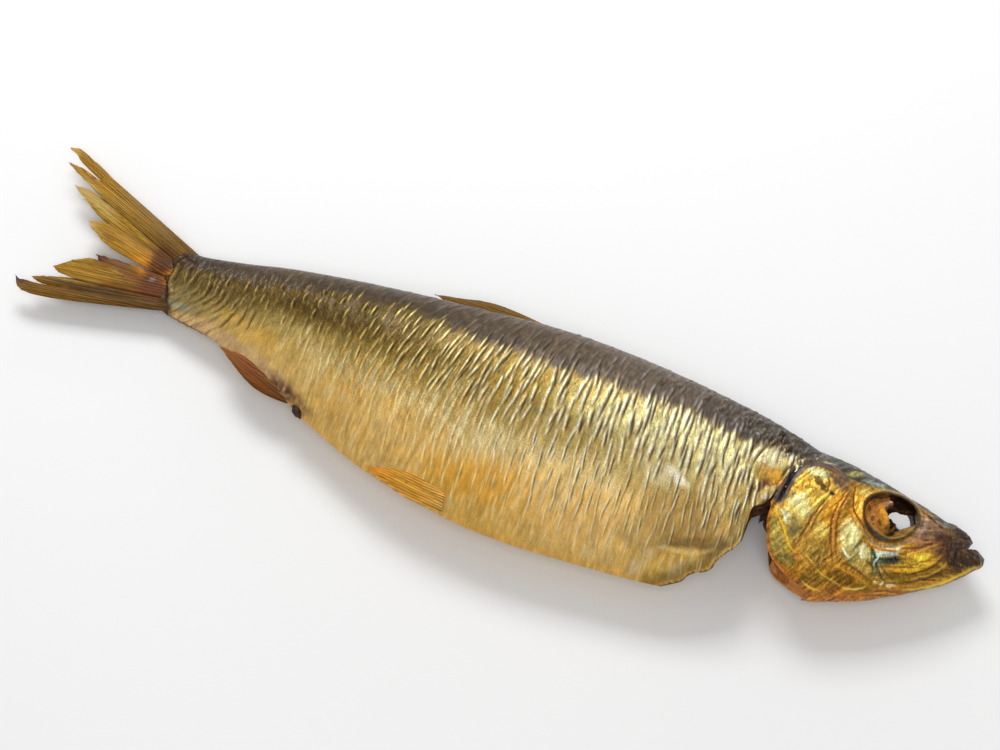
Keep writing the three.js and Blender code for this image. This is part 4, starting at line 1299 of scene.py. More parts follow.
def head_heights(skin):
    x, y, up = skin.x, skin.y, -skin.way
    slow = Grain(61).rough(x / 7, up / 7, 3)
    crumple = np.abs(Grain(62).rough(x / 1.6, up / 1.6, 3))
    heights = 0.25 * slow - 0.26 * crumple + 0.09 * head_streaks(x, up)
    heights += 0.30 * blob(x, y, *ROUGH_SNOUT) * Grain(63).rough(x / 0.9, up / 0.9, 3)
    heights += lip_bumps(x, y)
    heights -= 0.35 * bell(gill_edge_gap(skin), 0.6)
    for *place, high in HEAD_SWELLINGS:
        heights += high * blob(x, y, *place)
    return heights


# Knobs on the dried lips: the middle, the half size and how far they stand out.
LIP_KNOBS = [
    ((137.2, 15.6), 1.5, 0.7), ((139.8, 14.9), 1.4, 0.8), ((141.6, 13.6), 1.3, 0.9),
    ((141.9, 11.8), 1.0, 0.8), ((139.6, 12.2), 1.0, 0.5), ((145.4, 9.9), 1.4, 0.6),
    ((143.0, 9.6), 1.0, 0.5), ((146.8, 8.6), 1.2, 0.5),
]


def lip_bumps(x, y):
    total = np.zeros_like(x)
    for centre, size, high in LIP_KNOBS:
        total += high * np.exp(-((x - centre[0]) ** 2 + (y - centre[1]) ** 2) / size**2)
    return total


def rim_lift(gap):
    """The skin swells to a lip round the eye socket, with a shallow gutter outside it."""
    return 0.22 * bell(gap - 0.5, 0.4) - 0.22 * bell(gap - 2.0, 0.6)


def make_head():
    skin = Skin(head_form, HEAD_COLUMNS, HEAD_UPPER_ROWS, HEAD_LOWER_ROWS)
    paint, dark = head_paint(skin)
    eye = eye_gap(skin)
    heights, paint = draw_lines(skin, HEAD_LINES, head_heights(skin) + rim_lift(eye), paint, 71)
    paint = np.clip(HEAD_MIDDLE + HEAD_CONTRAST * (paint - HEAD_MIDDLE), 8, 255)
    # A painted dark shadow just round the eye socket's edge.
    paint = layer(paint, RIM_SHADOW, 0.9 * (1 - ramp(eye, 0.3, 1.2)))
    metal = np.clip(0.62 - 0.55 * dark, 0, 1) * (1 - 0.8 * ramp(skin.s, 0.88, 0.97))
    metal *= 1 - 0.8 * blob(skin.x, skin.y, *DULL_SNOUT)
    return skin.build("head", heights, paint, {"metal": metal, "own": np.ones(len(skin.x))})


# ================================================================ what the knife and the socket take away
def fan_out(points, pitch):
    """The outline's points, with more put in so that none are further apart than the pitch."""
    points = [np.array(p, float) for p in points]
    found = []
    for here, there in zip(points, points[1:] + points[:1]):
        steps = max(int(np.linalg.norm(there - here) / pitch), 1)
        found += [mix(here, there, k / steps) for k in range(steps)]
    return np.array(found)


def is_clockwise(outline):
    x, y = outline.T
    return (x * np.roll(y, -1) - np.roll(x, -1) * y).sum() < 0


def gill_splay(y, z):
    """How far back a gill cover's edge lies from its outline, at this height in the fish."""
    low, full, still_full, high = GILL_SPLAY_SPAN
    return GILL_SPLAY * (z - PRISM_MIDDLE) * ramp(y, low, full) * ramp(y, high, still_full)


def prism(outline, low=PRISM_LOW, high=PRISM_HIGH, lean=0.0, ragged=0.0, seed=0, splayed=False):
    """A block with the given outline; its walls are fine enough to be ragged."""
    ring = fan_out(outline, WALL_PITCH)
    if is_clockwise(ring):
        ring = ring[::-1]
    grain = Grain(seed)
    points = []
    for z in np.linspace(low, high, max(int((high - low) / WALL_PITCH), 2)):
        slide = lean * (z - PRISM_MIDDLE)
        x, y = (ring + (-PRISM_SKEW * slide, slide)).T
        shift_x = ragged * grain.rough(x / 2 + z / 3, y / 2)
        shift_y = ragged * grain.rough(y / 2 + 40, x / 2 - z / 3)
        if splayed:
            shift_x -= gill_splay(y, z)
        points.append(np.column_stack([x + shift_x, y + shift_y, np.full(len(ring), z)]))
    return tube(np.array(points))


def tube(rings):
    """A closed solid through rings of points that run anticlockwise seen from its far end."""
    levels, count, _ = rings.shape
    index = np.arange(levels * count).reshape(levels, count)
    following = np.roll(index, -1, axis=1)
    quads = grid_quads(index[:-1], following[:-1], following[1:], index[1:])
    low, high = levels * count, levels * count + 1
    caps = np.concatenate([
        np.stack([np.full(count, low), following[0], index[0]], axis=1),
        np.stack([np.full(count, high), index[-1], following[-1]], axis=1),
    ])
    points = np.vstack([rings.reshape(-1, 3), rings[0].mean(0), rings[-1].mean(0)])
    return points, quads, caps


def hollow(rings, form, seed):
    """A hollow in the flesh, its walls lumpy and a little inside those of the plain part."""
    stations = np.array(rings, float)
    xs = np.arange(stations[0, 0], stations[-1, 0] + 0.01, WALL_PITCH)
    y, high, wide = (smooth_curve(stations[:, 0], stations[:, k])(xs)[:, None] for k in (1, 2, 3))
    angle = np.linspace(0, 2 * np.pi, HOLLOW_COUNT, endpoint=False)[None, :]
    xs = xs[:, None]
    lumps = 0.86 + 0.08 * Grain(seed).rough(xs / 3, 4 * np.cos(angle))
    ring_y = y + high * np.cos(angle) * lumps
    ring_z = form.mid(xs) + wide * np.sin(angle) * lumps
    return tube(np.stack([np.broadcast_to(xs, ring_y.shape), ring_y, ring_z], axis=2))


# The eye socket's opening in the skin, and the hole between the two sockets, half-way through the head.
SOCKET_OPENING = [(114.2, 16.2), (112.0, 14.2), (111.0, 12.0), (111.0, 9.6), (111.6, 7.4), (112.7, 5.4),
                  (114.1, 3.9), (116.0, 3.0), (118.0, 2.8), (120.0, 3.2), (122.0, 4.4), (123.8, 6.0),
                  (125.2, 7.9), (126.1, 10.2), (126.3, 12.6), (125.7, 14.8), (124.4, 16.6), (122.4, 17.7),
                  (120.2, 18.1), (117.8, 17.8), (115.9, 17.1)]
SOCKET_HOLE = [(127.2, 14.8), (124.6, 15.6), (122.3, 15.0), (121.2, 15.1), (120.2, 15.0), (118.9, 14.2),
               (118.4, 12.9), (119.5, 12.3), (121.0, 11.4), (122.5, 10.5), (124.2, 11.6), (126.2, 13.2)]
# Behind, a dried fold hides part of the socket: how far in its free edge lies, by the angle round the eye.
FOLD_EDGE = [(100, 0.08), (112, 0.15), (121, 0.28), (129, 0.52), (140, 0.70), (159, 0.77), (180, 0.77),
             (215, 0.76), (235, 0.73), (252, 0.68), (264, 0.55)]
FOLD_SHARE = 0.84
# How deep the socket's wall lies, by how far in from the opening to the hole: behind, above and below.
SOCKET_REAR = [(-0.1, -0.2), (0, 0), (0.05, 0.24), (0.16, 0.40), (0.4, 0.38), (0.66, 0.24), (0.80, 0.19),
               (0.85, 0.28), (0.89, 0.7), (0.94, 0.95), (1, 1)]
SOCKET_TOP = [(-0.1, -0.2), (0, 0), (0.04, 0.50), (0.10, 0.80), (0.5, 0.93), (0.9, 0.97), (1, 1)]
SOCKET_LOW = [(-0.1, -0.2), (0, 0), (0.08, 0.20), (0.2, 0.32), (0.6, 0.60), (0.9, 0.85), (1, 1)]
SOCKET_STEPS = [-0.1, -0.03, *np.linspace(0, 1, 44)]
# How far in from the opening the dark grey band reaches, by the angle round the eye.
CRESCENT = [(0, 0.04), (90, 0.08), (130, 0.12), (165, 0.06), (195, 0.06), (225, 0.22), (255, 0.28),
            (285, 0.20), (315, 0.10), (360, 0.04)]
CRESCENT_GREY = (60, 60, 50)
SOCKET_GOLD = (156, 120, 54)
SOCKET_CREASE = (62, 40, 20)
SOCKET_FAR = (84, 52, 22)
CHAMBER_ORANGE = (206, 140, 66)
CHAMBER_CREASE = (124, 72, 30)
FOLD_LILAC = (170, 134, 112)
FOLD_GOLD = (206, 142, 48)
FOLD_SHADOW = (60, 36, 14)
# Painted shade for the socket's overhanging top:
VAULT_SHADE = (46, 28, 10)
VAULT_BROWN = (112, 70, 24)


def angle_between(first, second):
    return np.abs((first - second + 180) % 360 - 180)


def socket():
    """Both eye sockets, the flesh folded inside them, and the ragged hole that joins them."""
    opening = closed_path(SOCKET_OPENING, SOCKET_COUNT)
    hole = closed_path(SOCKET_HOLE, SOCKET_COUNT)
    angle, hole_angle = (np.degrees(np.arctan2(*(ring - ring.mean(0)).T[::-1])) for ring in (opening, hole))
    hole = np.roll(hole, -int(np.argmin(angle_between(hole_angle, angle[0]))), axis=0)
    round_eye = np.mod(angle, 360)
    rear = ramp(round_eye, 100, 114) * (1 - ramp(round_eye, 246, 264))
    to_fold = FOLD_SHARE / through(FOLD_EDGE, round_eye)
    top = 1 - ramp(angle_between(angle, 72), 46, 68)
    # Where the socket's top is painted dark, as shade under the overhang.
    shaded_top = 1 - ramp(angle_between(angle, 78), 36, 58)
    grain = Grain(81)
    skin_z = head_form.height(opening[:, 0], opening[:, 1])
    hole_z = head_form.mid(hole[:, 0])
    rings, paints = [], []
    for g in SOCKET_STEPS:
        behind = np.minimum(g * to_fold, 1)
        deep = mix(through(SOCKET_LOW, g), through(SOCKET_TOP, g), top)
        deep = mix(deep, through(SOCKET_REAR, behind), rear)
        wrinkle = grain.rough(angle / 14, 7 * g, 3)
        inward = g + 0.03 * wrinkle * ramp(g, 0.05, 0.2)
        flat = mix(opening, hole, inward[:, None]) + 0.35 * ramp(g, 0.9, 1.0) * wrinkle[:, None]
        z = mix(skin_z, hole_z, deep) + 0.5 * wrinkle * band(g, 0.1, 0.9, 0.1)
        z = np.where(g >= 1.0, hole_z, np.maximum(z, hole_z + 0.05))
        rings.append(np.column_stack([flat, z]))
        paints.append(socket_paint(g, behind, round_eye, rear, shaded_top, wrinkle))
    upper = np.array(rings)
    lower = upper[:-1].copy()
    lower[:, :, 2] = 2 * head_form.mid(lower[:, :, 0]) - lower[:, :, 2]
    points, quads, caps = tube(np.concatenate([lower, upper[::-1]]))
    far_paints = [mix(paint, np.array(SOCKET_FAR, float), 0.8) for paint in paints[:-1]]
    paint = np.concatenate([far_paints, paints[::-1]]).reshape(-1, 3)
    return points, quads, caps, np.vstack([paint, paint[:1], paint[-1:]])


def socket_paint(g, behind, round_eye, rear, top, wrinkle):
    """The colours of the flesh in the eye socket, for one ring of it; top is where it is painted dark as
    shade under the overhang.
    """
    before = ramp(round_eye, 165, 190)
    chamber = layers(
        coat(CHAMBER_ORANGE, len(rear)),
        (CHAMBER_CREASE, ramp(wrinkle, 0.05, 0.35)),
        (FOLD_LILAC, band(behind, 0.60, 0.84, 0.05) * (1 - before)),
        (FOLD_GOLD, band(behind, 0.58, 0.84, 0.05) * before),
        (FOLD_SHADOW, ramp(behind, 0.85, 0.90)),
    )
    crescent = (1 - ramp(g / through(CRESCENT, round_eye), 0.8, 1.2)) * (1 - 0.8 * top)
    paint = layers(
        coat(SOCKET_GOLD, len(rear)),
        (SOCKET_CREASE, bell(round_eye - 272, 9) * ramp(g, 0.2, 0.4)),
        # Painted shade under the socket's overhanging top.
        (VAULT_SHADE, top),
        (VAULT_BROWN, 0.8 * top * ramp(wrinkle, 0.05, 0.5)),
        (chamber, rear),
        (CRESCENT_GREY, 0.9 * crescent),
    )
    return paint * (1 + 0.35 * wrinkle[:, None])


def cutter(name, solids):
    """One object from several overlapping solids, painted as flesh but where they bring their own paint."""
    pieces = []
    for k, (points, quads, caps, *own_paint) in enumerate(solids):
        colours = own_paint[0] if own_paint else flesh_paint(points)
        piece = mesh_object(f"{name}_{k}", points, [quads, caps], colours, {"own": np.full(len(points), 2.0)})
        wall = piece.data.attributes.new("wall", "INT", "FACE")
        wall.data.foreach_set("value", np.ones(len(piece.data.polygons), np.int32))
        pieces.append(piece)
    for other in pieces[1:]:
        combine(pieces[0], other, "UNION")
    return pieces[0]


def combine(piece, other, operation):
    """Joins other to the piece, or cuts it away, and removes other."""
    change = piece.modifiers.new("change", "BOOLEAN")
    change.operation = operation
    change.solver = "MANIFOLD"
    change.object = other
    graph = bpy.context.evaluated_depsgraph_get()
    mesh = bpy.data.meshes.new_from_object(piece.evaluated_get(graph))
    piece.modifiers.clear()
    piece.data = mesh
    bpy.data.objects.remove(other)


FLESH_BROWN = (78, 44, 24)
FLESH_LIGHT = (128, 74, 34)
FLESH_DARK = (40, 24, 18)
WALL_ORANGE = (222, 134, 16)


def flesh_paint(points):
    """Dried flesh: dark brown up in the cut, orange-brown on the thin walls below."""
    x, y, z = points.T
    lumps = Grain(91).rough(x / 2.2, y / 2.2 + z / 2.7)
    return layers(
        coat(FLESH_BROWN, len(points)),
        (FLESH_LIGHT, ramp(lumps, 0.0, 0.5)),
        (FLESH_DARK, ramp(-lumps, 0.1, 0.5)),
        (WALL_ORANGE, ramp(y, -7.0, -12.0) * (0.9 + 0.2 * lumps)),
    )


def throat_solids():
    """The blocks that the throat cut takes away: below the flaps and the gill covers, and the slits."""
    deep = PRISM_REACH
    top_x, top_y = CUT_TOP
    under_flaps = [(top_x + 5, -deep), (FLAP_EDGE[0][0] - 2, -deep)]
    under_gills = [(GILL_EDGE[-1][0], -deep), (top_x - 3, -deep), (top_x - 3, top_y - 2.6)]
    flap = smooth_path([*FLAP_EDGE, CUT_TOP], 50)
    gill = smooth_path([CUT_TOP, *GILL_EDGE], 50)
    return [
        prism([*flap, *under_flaps], lean=FLAP_LEAN, ragged=0.30, seed=101),
        prism([*gill, *under_gills], ragged=0.10, seed=102, splayed=True),
        prism(SLIT, low=PRISM_MIDDLE + SLIT_DEPTH, ragged=0.2, seed=103),
        prism(SLIT, high=PRISM_MIDDLE - SLIT_DEPTH, ragged=0.2, seed=104),
    ]


def behind_gill_covers():
    deep = PRISM_REACH
    edge = smooth_path(GILL_COVER_EDGE, 50)
    outline = [*edge, (CUT_TOP[0], -deep), (70, -deep), (70, deep), (GILL_COVER_EDGE[0][0], deep)]
    return prism(outline, ragged=0.12, seed=105)


# What the skin keeps at each point: the attribute, its kind of value and how many numbers that is.
SKIN_LAYERS = [("paint", "color", 4), ("metal", "value", 1)]


def read_layer(mesh, name, kind="value", width=1, number=np.float32):
    layer_data = mesh.attributes[name].data
    values = np.zeros(len(layer_data) * width, number)
    layer_data.foreach_get(kind, values)
    return values.reshape(-1, width)


def keep_skin(mesh, skin_points, skin_values):
    """Points that a cut has made lie on its edge: they take after the nearest of the skin's own."""
    tree = kdtree.KDTree(len(skin_points))
    for i, point in enumerate(skin_points):
        tree.insert(point, i)
    tree.balance()
    lost = np.flatnonzero(read_layer(mesh, "own") < 0.999)
    nearest = [tree.find(mesh.vertices[i].co)[1] for i in lost]
    for (name, kind, width), values in zip(SKIN_LAYERS, skin_values):
        found = read_layer(mesh, name, kind, width)
        found[lost] = values[nearest]
        mesh.attributes[name].data.foreach_set(kind, found.ravel())


def carve(piece, cutters):
    """Cuts all the cutters away; the walls that they leave are flesh."""
    skin_points = [v.co.copy() for v in piece.data.vertices]
    skin_values = [read_layer(piece.data, *skin_layer) for skin_layer in SKIN_LAYERS]
    for tool in cutters:
        combine(piece, tool, "DIFFERENCE")
    mesh = piece.data
    keep_skin(mesh, skin_points, skin_values)
    walls = read_layer(mesh, "wall", number=np.int32)
    mesh.materials.clear()
    mesh.materials.append(skin_material)
    mesh.materials.append(flesh_material)
    mesh.polygons.foreach_set("material_index", walls.ravel())
    mesh.set_sharp_from_angle(angle=math.radians(SHARP_ANGLE))


# ================================================================ fins
FIN_GOLD = (164, 120, 30)
FIN_BROWN = (120, 84, 18)
FIN_DARK = (96, 64, 16)
FIN_ORANGE = (176, 108, 18)
FIN_PALE = (198, 164, 84)
FIN_RED = (140, 50, 20)
ANAL_BROWN = (120, 66, 18)
ANAL_ORANGE = (150, 88, 28)
PELVIC_COLOURS = ((236, 178, 84), (240, 172, 62), (232, 146, 44))
VENT_BROWN = (62, 42, 36)

# Colours that run across the tail's leaves: the middle, half sizes, turn, colour and how strong it is.
TAIL_STAINS = [
    ((-110.0, 19.0), (5.5, 2.6), -34, (104, 72, 20), 0.4),
    ((-111.0, 9.0), (7.0, 3.2), -12, (214, 134, 24), 0.8),
    ((-118.0, 12.6), (6.0, 1.3), -24, (206, 150, 44), 0.6),
    ((-113.0, 4.6), (6.0, 1.6), 4, (132, 76, 26), 0.6),
    ((-122.0, 6.4), (6.0, 1.6), 12, (124, 74, 30), 0.6),
    ((-108.6, 13.8), (3.6, 3.4), -10, (96, 60, 16), 0.9),
    ((-109.4, 8.0), (3.0, 7.0), 0, (98, 54, 16), 0.85),
    ((-107.6, 2.6), (4.6, 3.4), 6, (106, 58, 24), 0.9),
    ((-116.0, 0.6), (7.0, 1.2), 6, (120, 70, 24), 0.6),
    ((-107.4, 11.6), (2.0, 2.0), 0, (86, 48, 20), 0.7),
    ((-109.2, 6.2), (1.0, 0.7), 20, (136, 134, 140), 0.9),
    ((-120.0, 25.4), (12.0, 1.2), -26, (150, 118, 62), 0.6),
    ((-124.0, -3.2), (12.0, 1.5), 10, (70, 46, 16), 0.6),
    ((-131.0, -2.0), (8.0, 1.0), 10, (176, 138, 64), 0.6),
    ((-146.5, -6.8), (3.0, 2.0), 10, (70, 40, 38), 0.9),
    ((-127.4, 7.4), (2.4, 1.6), 0, (88, 46, 26), 0.8),
    ((-136.0, 24.0), (9.0, 2.4), -26, (206, 178, 112), 0.6),
    ((-148.6, 36.6), (2.6, 1.2), -26, (206, 160, 70), 0.7),
    ((-143.2, 31.4), (0.7, 0.5), 0, (116, 60, 24), 0.6),
    ((-139.2, 30.5), (0.9, 0.6), 0, (120, 66, 26), 0.6),
    ((-132.8, -6.0), (1.1, 0.9), 0, (150, 84, 34), 0.6),
]
# Frayed slips that split from the leaves, each lying on one of them.
TAIL_SLIPS = [
    ((-137, 33.2), (-137, 30.6), (-146.6, 37.6), (-146.2, 35.0), (-150.6, 37.0)),
    ((-124, 26.9), (-124, 24.4), (-138.4, 34.4), (-138.0, 32.4), (-144.4, 36.7)),
    ((-112, 17.0), (-112, 14.4), (-128, 24.2), (-128, 20.0), (-140.0, 22.7)),
    ((-116, 21.0), (-116, 18.6), (-132, 27.6), (-132, 24.6), (-142.6, 28.9)),
    ((-114, 13.2), (-113, 10.2), (-125.6, 15.6), (-125.2, 12.0), (-133.8, 15.1)),
    ((-118, 5.6), (-118, 3.4), (-128.6, 6.0), (-128.4, 3.6), (-134.9, 3.1)),
    ((-118, 4.4), (-118, 2.0), (-129.6, 4.2), (-129.6, 1.6), (-136.9, 1.3)),
    ((-120, -1.2), (-120, -3.6), (-132, -3.0), (-132, -5.4), (-139.8, -6.6)),
]


# Each slip lies on one of the leaves, whose levels take turns. A leaf is painted at its root, body and tip.
SLIP_PARENTS = [0, 0, 2, 1, 3, 5, 5, 6]
TAIL_STAGGER, SLIP_RISE = (-0.1, 0.22), 0.1
TAIL_COLOURS = [
    (FIN_BROWN, FIN_GOLD, FIN_PALE), (FIN_BROWN, FIN_GOLD, FIN_GOLD), (FIN_BROWN, FIN_GOLD, FIN_PALE),
    (FIN_ORANGE, FIN_GOLD, FIN_PALE), (FIN_ORANGE, FIN_BROWN, FIN_DARK), (FIN_DARK, FIN_GOLD, FIN_GOLD),
    (FIN_DARK, FIN_BROWN, FIN_GOLD), (FIN_DARK, FIN_BROWN, FIN_GOLD),
]


def leaf_edge(root, notch, tip, count):
    """A uniform Catmull-Rom line from root over notch to tip, as three.js draws a SplineCurve."""
    knots = np.array([root, notch, tip], float)
    t = np.linspace(0, 1, count) * 2
    i = np.minimum(t.astype(int), 1)
    f = (t - i)[:, None]
    p0 = knots[np.maximum(i - 1, 0)]
    p1, p2 = knots[i], knots[i + 1]
    p3 = knots[np.minimum(i + 2, 2)]
    v0, v1 = (p2 - p0) / 2, (p3 - p1) / 2
    return (2 * p1 - 2 * p2 + v0 + v1) * f**3 + (-3 * p1 + 3 * p2 - 2 * v0 - v1) * f**2 + v0 * f + p1


def fin_leaf(name, leaf, thickness, height, colours, seed, stains=(), fineness=LEAF_FINENESS):
    """One leaf of a fin, lens-shaped across, with its rays as fine ridges."""
    steps, across = fineness
    upper_root, lower_root, upper_notch, lower_notch, tip = (np.array(place, float) for place in leaf)
    upper = leaf_edge(upper_root, upper_notch, tip, steps)
    lower = leaf_edge(lower_root, lower_notch, tip, steps)
    grain = Grain(seed)
    t = np.linspace(0, 1, steps)[:, None]
    v = np.linspace(0, 1, across + 1)[None, :]
    x = mix(upper[:, :1], lower[:, :1], v)
    y = mix(upper[:, 1:], lower[:, 1:], v)
    middle = (upper_root + lower_root) / 2
    heading = tip - middle
    heading /= np.linalg.norm(heading)
    off_axis = (x - middle[0]) * -heading[1] + (y - middle[1]) * heading[0]
    fray = 0.35 * grain.rough(14 * t, 3 * v) * ramp(t, 0.3, 0.8)
    x = x + fray * heading[1] * np.abs(2 * v - 1) ** 4
    y = y - fray * heading[0] * np.abs(2 * v - 1) ** 4
    wave = off_axis / RAY_PITCH + 0.3 * grain.rough(3 * t, 3 * v)
    ray = 0.5 + 0.5 * np.cos(2 * np.pi * wave)
    bulge = np.sqrt(np.clip(4 * v * (1 - v), 0, 1)) * (0.82 + mix(0.18, 0.06, t) * ray)
    half = mix(*thickness, t) / 2 * bulge * np.minimum(1, 8 * (1.001 - t))
    centre = height(x, y) + 0.3 * (v - 0.5) + 0.25 * grain.rough(3 * t, v * 2)
    top = np.stack([x, y, centre + half], axis=2)
    bottom = np.stack([x, y, centre - half], axis=2)
    paint = leaf_paint(t, v, 0.5 + 0.5 * np.cos(3 * np.pi * wave), grain, colours)
    slip = 0.8 * grain.rough(x / 1.5, y / 0.7)
    for centre, size, turn, colour, strength in stains:
        mask = strength * blob(x + slip, y + slip, centre, size, turn, 0.5)
        paint = mix(paint, np.array(colour, float) * (0.8 + 0.2 * ray[..., None]), mask[..., None])
    return close_leaf(name, top, bottom, paint)


def leaf_paint(t, v, ray, grain, colours):
    """Root, body and tip colours, darker between the rays, with stray red specks."""
    root, body, tip = (np.array(c, float) for c in colours)
    base = mix(root, body, ramp(t, 0.0, 0.45)[..., None])
    base = mix(base, tip, ramp(t, 0.55, 1.0)[..., None])
    streak = grain.rough(2 * t, 24 * v)
    between = (1 - ray) ** 3 * mix(0.55, 0.15, t)
    base = base * (1 + 0.26 * streak - between)[..., None]
    specks = ramp(grain(30 * t + 60, 16 * v), 0.86, 0.95)
    return mix(base, np.array(FIN_RED, float), (0.7 * specks)[..., None])


def close_leaf(name, top, bottom, paint):
    """Joins the two faces of a leaf along its edges, and closes its root."""
    steps, count, _ = top.shape
    upper = np.arange(steps * count).reshape(steps, count)
    lower = upper.copy()
    inner = np.arange((steps - 1) * (count - 2)).reshape(steps - 1, count - 2)
    lower[:-1, 1:-1] = upper.size + inner
    points = np.vstack([top.reshape(-1, 3), bottom[:-1, 1:-1].reshape(-1, 3)])
    colours = np.vstack([paint.reshape(-1, 3), paint[:-1, 1:-1].reshape(-1, 3)])
    upper[-1] = upper[-1, 0]
    lower[-1] = upper[-1, 0]
    faces = [
        grid_quads(upper[:-2, :-1], upper[:-2, 1:], upper[1:-1, 1:], upper[1:-1, :-1]),
        grid_quads(lower[:-2, :-1], lower[1:-1, :-1], lower[1:-1, 1:], lower[:-2, 1:]),
        np.stack([upper[-2, :-1], upper[-2, 1:], upper[-1, 1:]], axis=1),
        np.stack([lower[-2, 1:], lower[-2, :-1], lower[-1, 1:]], axis=1),
        np.concatenate([upper[0], lower[0, -2:0:-1]])[None, ::-1],
    ]
    piece = mesh_object(name, points, faces, colours)
    drop_loose(piece)
    return piece


def drop_loose(piece):
    """Removes points that no face uses, and turns all the faces outwards."""
    mesh = bmesh.new()
    mesh.from_mesh(piece.data)
    bmesh.ops.delete(mesh, geom=[v for v in mesh.verts if not v.link_faces], context="VERTS")
    bmesh.ops.recalc_face_normals(mesh, faces=mesh.faces)
    mesh.to_mesh(piece.data)
    mesh.free()


def join(name, leaves):
    """Makes one piece of several, each of them closed."""
    first = leaves[0]
    with bpy.context.temp_override(active_object=first, object=first, selected_objects=leaves,
                                   selected_editable_objects=leaves):
        bpy.ops.object.join()
    first.name = name
    first.data.materials.clear()
    first.data.materials.append(fin_material)
    return first


def flat(level):
    """A fin whose middle lies at one height."""
    return lambda x, y: level


def on_flank(side):
    """A fin that lies on the upper flank or the one below."""
    return lambda x, y: trunk_form.height(x, y, side) + side * PELVIC_LIFT


def make_tail():
    """Eight leaves of fused rays, the upper four of them the upper lobe, and the slips frayed from them."""
    leaves = []
    for k, leaf in enumerate(TAIL_LEAVES):
        height = flat(TAIL_MID + TAIL_STAGGER[k % 2])
        colours = TAIL_COLOURS[k]
        leaves.append(fin_leaf(f"tail_{k}", leaf, TAIL_THICKNESS, height, colours, 200 + k, TAIL_STAINS))
    slip_thickness = (0.5 * TAIL_THICKNESS[0], TAIL_THICKNESS[1])
    for k, (slip, parent) in enumerate(zip(TAIL_SLIPS, SLIP_PARENTS)):
        height = flat(TAIL_MID + TAIL_STAGGER[parent % 2] + SLIP_RISE)
        body = TAIL_COLOURS[parent][1]
        leaves.append(fin_leaf(f"slip_{k}", slip, slip_thickness, height, (body, body, FIN_PALE), 210 + k,
                               TAIL_STAINS, SLIP_FINENESS))
    return join("tail_fin", leaves)


def make_dorsal():
    colours = (FIN_GOLD, FIN_BROWN, FIN_BROWN)
    leaf = fin_leaf("dorsal", DORSAL_LEAF, DORSAL_THICKNESS, flat(DORSAL_MID), colours, 220)
    return join("dorsal_fin", [leaf])


def make_anal():
    colours = (FIN_DARK, ANAL_BROWN, ANAL_ORANGE)
    leaf = fin_leaf("anal", ANAL_LEAF, ANAL_THICKNESS, flat(ANAL_MID), colours, 221)
    return join("anal_fin", [leaf])


def make_pelvic():
    leaves = []
    for side in (1, -1):
        height = on_flank(side)
        leaf = fin_leaf(f"pelvic_{side}", PELVIC_LEAF, PELVIC_THICKNESS, height, PELVIC_COLOURS, 230 + side)
        leaves.append(leaf)
    return join("pelvic_fins", leaves)


def make_vent():
    """The dark lump in front of the anal fin."""
    angle = np.linspace(0, 2 * np.pi, VENT_COUNT, endpoint=False)
    lean = math.radians(VENT_LEAN)
    rings = []
    for tilt in np.linspace(0.03, np.pi - 0.03, VENT_RINGS):
        lumps = Grain(240).rough(2 * np.cos(angle) + 5, 2 * np.sin(angle) + 2 * tilt)
        radius = VENT_RADIUS * math.sin(tilt) * (1 + 0.35 * lumps)
        along, across = VENT_STRETCH[0] * radius * np.cos(angle), VENT_STRETCH[1] * radius * np.sin(angle)
        x = VENT[0] + along * math.cos(lean) - across * math.sin(lean)
        y = VENT[1] + along * math.sin(lean) + across * math.cos(lean)
        rings.append(np.column_stack([x, y, np.full(angle.shape, VENT[2] - VENT_RADIUS * math.cos(tilt))]))
    points, quads, caps = tube(np.array(rings))
    mottle = Grain(241).rough(points[:, 0], points[:, 1] + points[:, 2])
    paint = np.array(VENT_BROWN, float) * (1 + 0.5 * mottle[:, None])
    return join("vent", [mesh_object("vent", points, [quads, caps], paint)])


# ================================================================ materials
EVEN = (1, 1, 1)
WARM_GLINT = (190, 120, 20)


def plug(material, inputs, values):
    """Gives a node's inputs their values: constants, or other nodes' outputs."""
    for key, value in values.items():
        if isinstance(value, bpy.types.NodeSocket):
            material.node_tree.links.new(value, inputs[key])
        else:
            inputs[key].default_value = value


def node(material, kind, output, values, **settings):
    """Adds a node with these settings and inputs, and gives one of its outputs."""
    made = material.node_tree.nodes.new("ShaderNode" + kind)
    for key, value in settings.items():
        setattr(made, key, value)
    plug(material, made.inputs, values)
    return made.outputs[output]


def new_material(name):
    material = bpy.data.materials.new(name)
    material.use_nodes = True
    material.node_tree.nodes.clear()
    output = material.node_tree.nodes.new("ShaderNodeOutputMaterial")
    shader = material.node_tree.nodes.new("ShaderNodeBsdfPrincipled")
    plug(material, output.inputs, {"Surface": shader.outputs["BSDF"]})
    return material, shader


def attribute(material, name, output):
    return node(material, "Attribute", output, {}, attribute_name=name)


def noise(material, stretch, scale, detail):
    """Noise over the object, in metres, stretched by a factor along each axis."""
    place = node(material, "TexCoord", "Object", {})
    stretched = node(material, "Mapping", "Vector", {"Vector": place, "Scale": stretch})
    values = {"Vector": stretched, "Scale": scale, "Detail": detail, "Roughness": 0.55}
    return node(material, "TexNoise", "Fac", values)


def remap(material, value, low, high, to_low, to_high):
    values = {"Value": value, "From Min": low, "From Max": high, "To Min": to_low, "To Max": to_high}
    return node(material, "MapRange", "Result", values)


def maths(material, operation, first, second):
    return node(material, "Math", "Value", {0: first, 1: second}, operation=operation)


def tint(material, colour, factor, other):
    """Mixes the colour with another, as far as the factor says."""
    values = {"Factor": factor, "A": colour, "B": (*linear(other), 1)}
    return node(material, "Mix", "Result", values, data_type="RGBA")


def shade(material, colour, factor):
    """Multiplies the colour by a grey."""
    return node(material, "VectorMath", "Vector", {0: colour, "Scale": factor}, operation="SCALE")


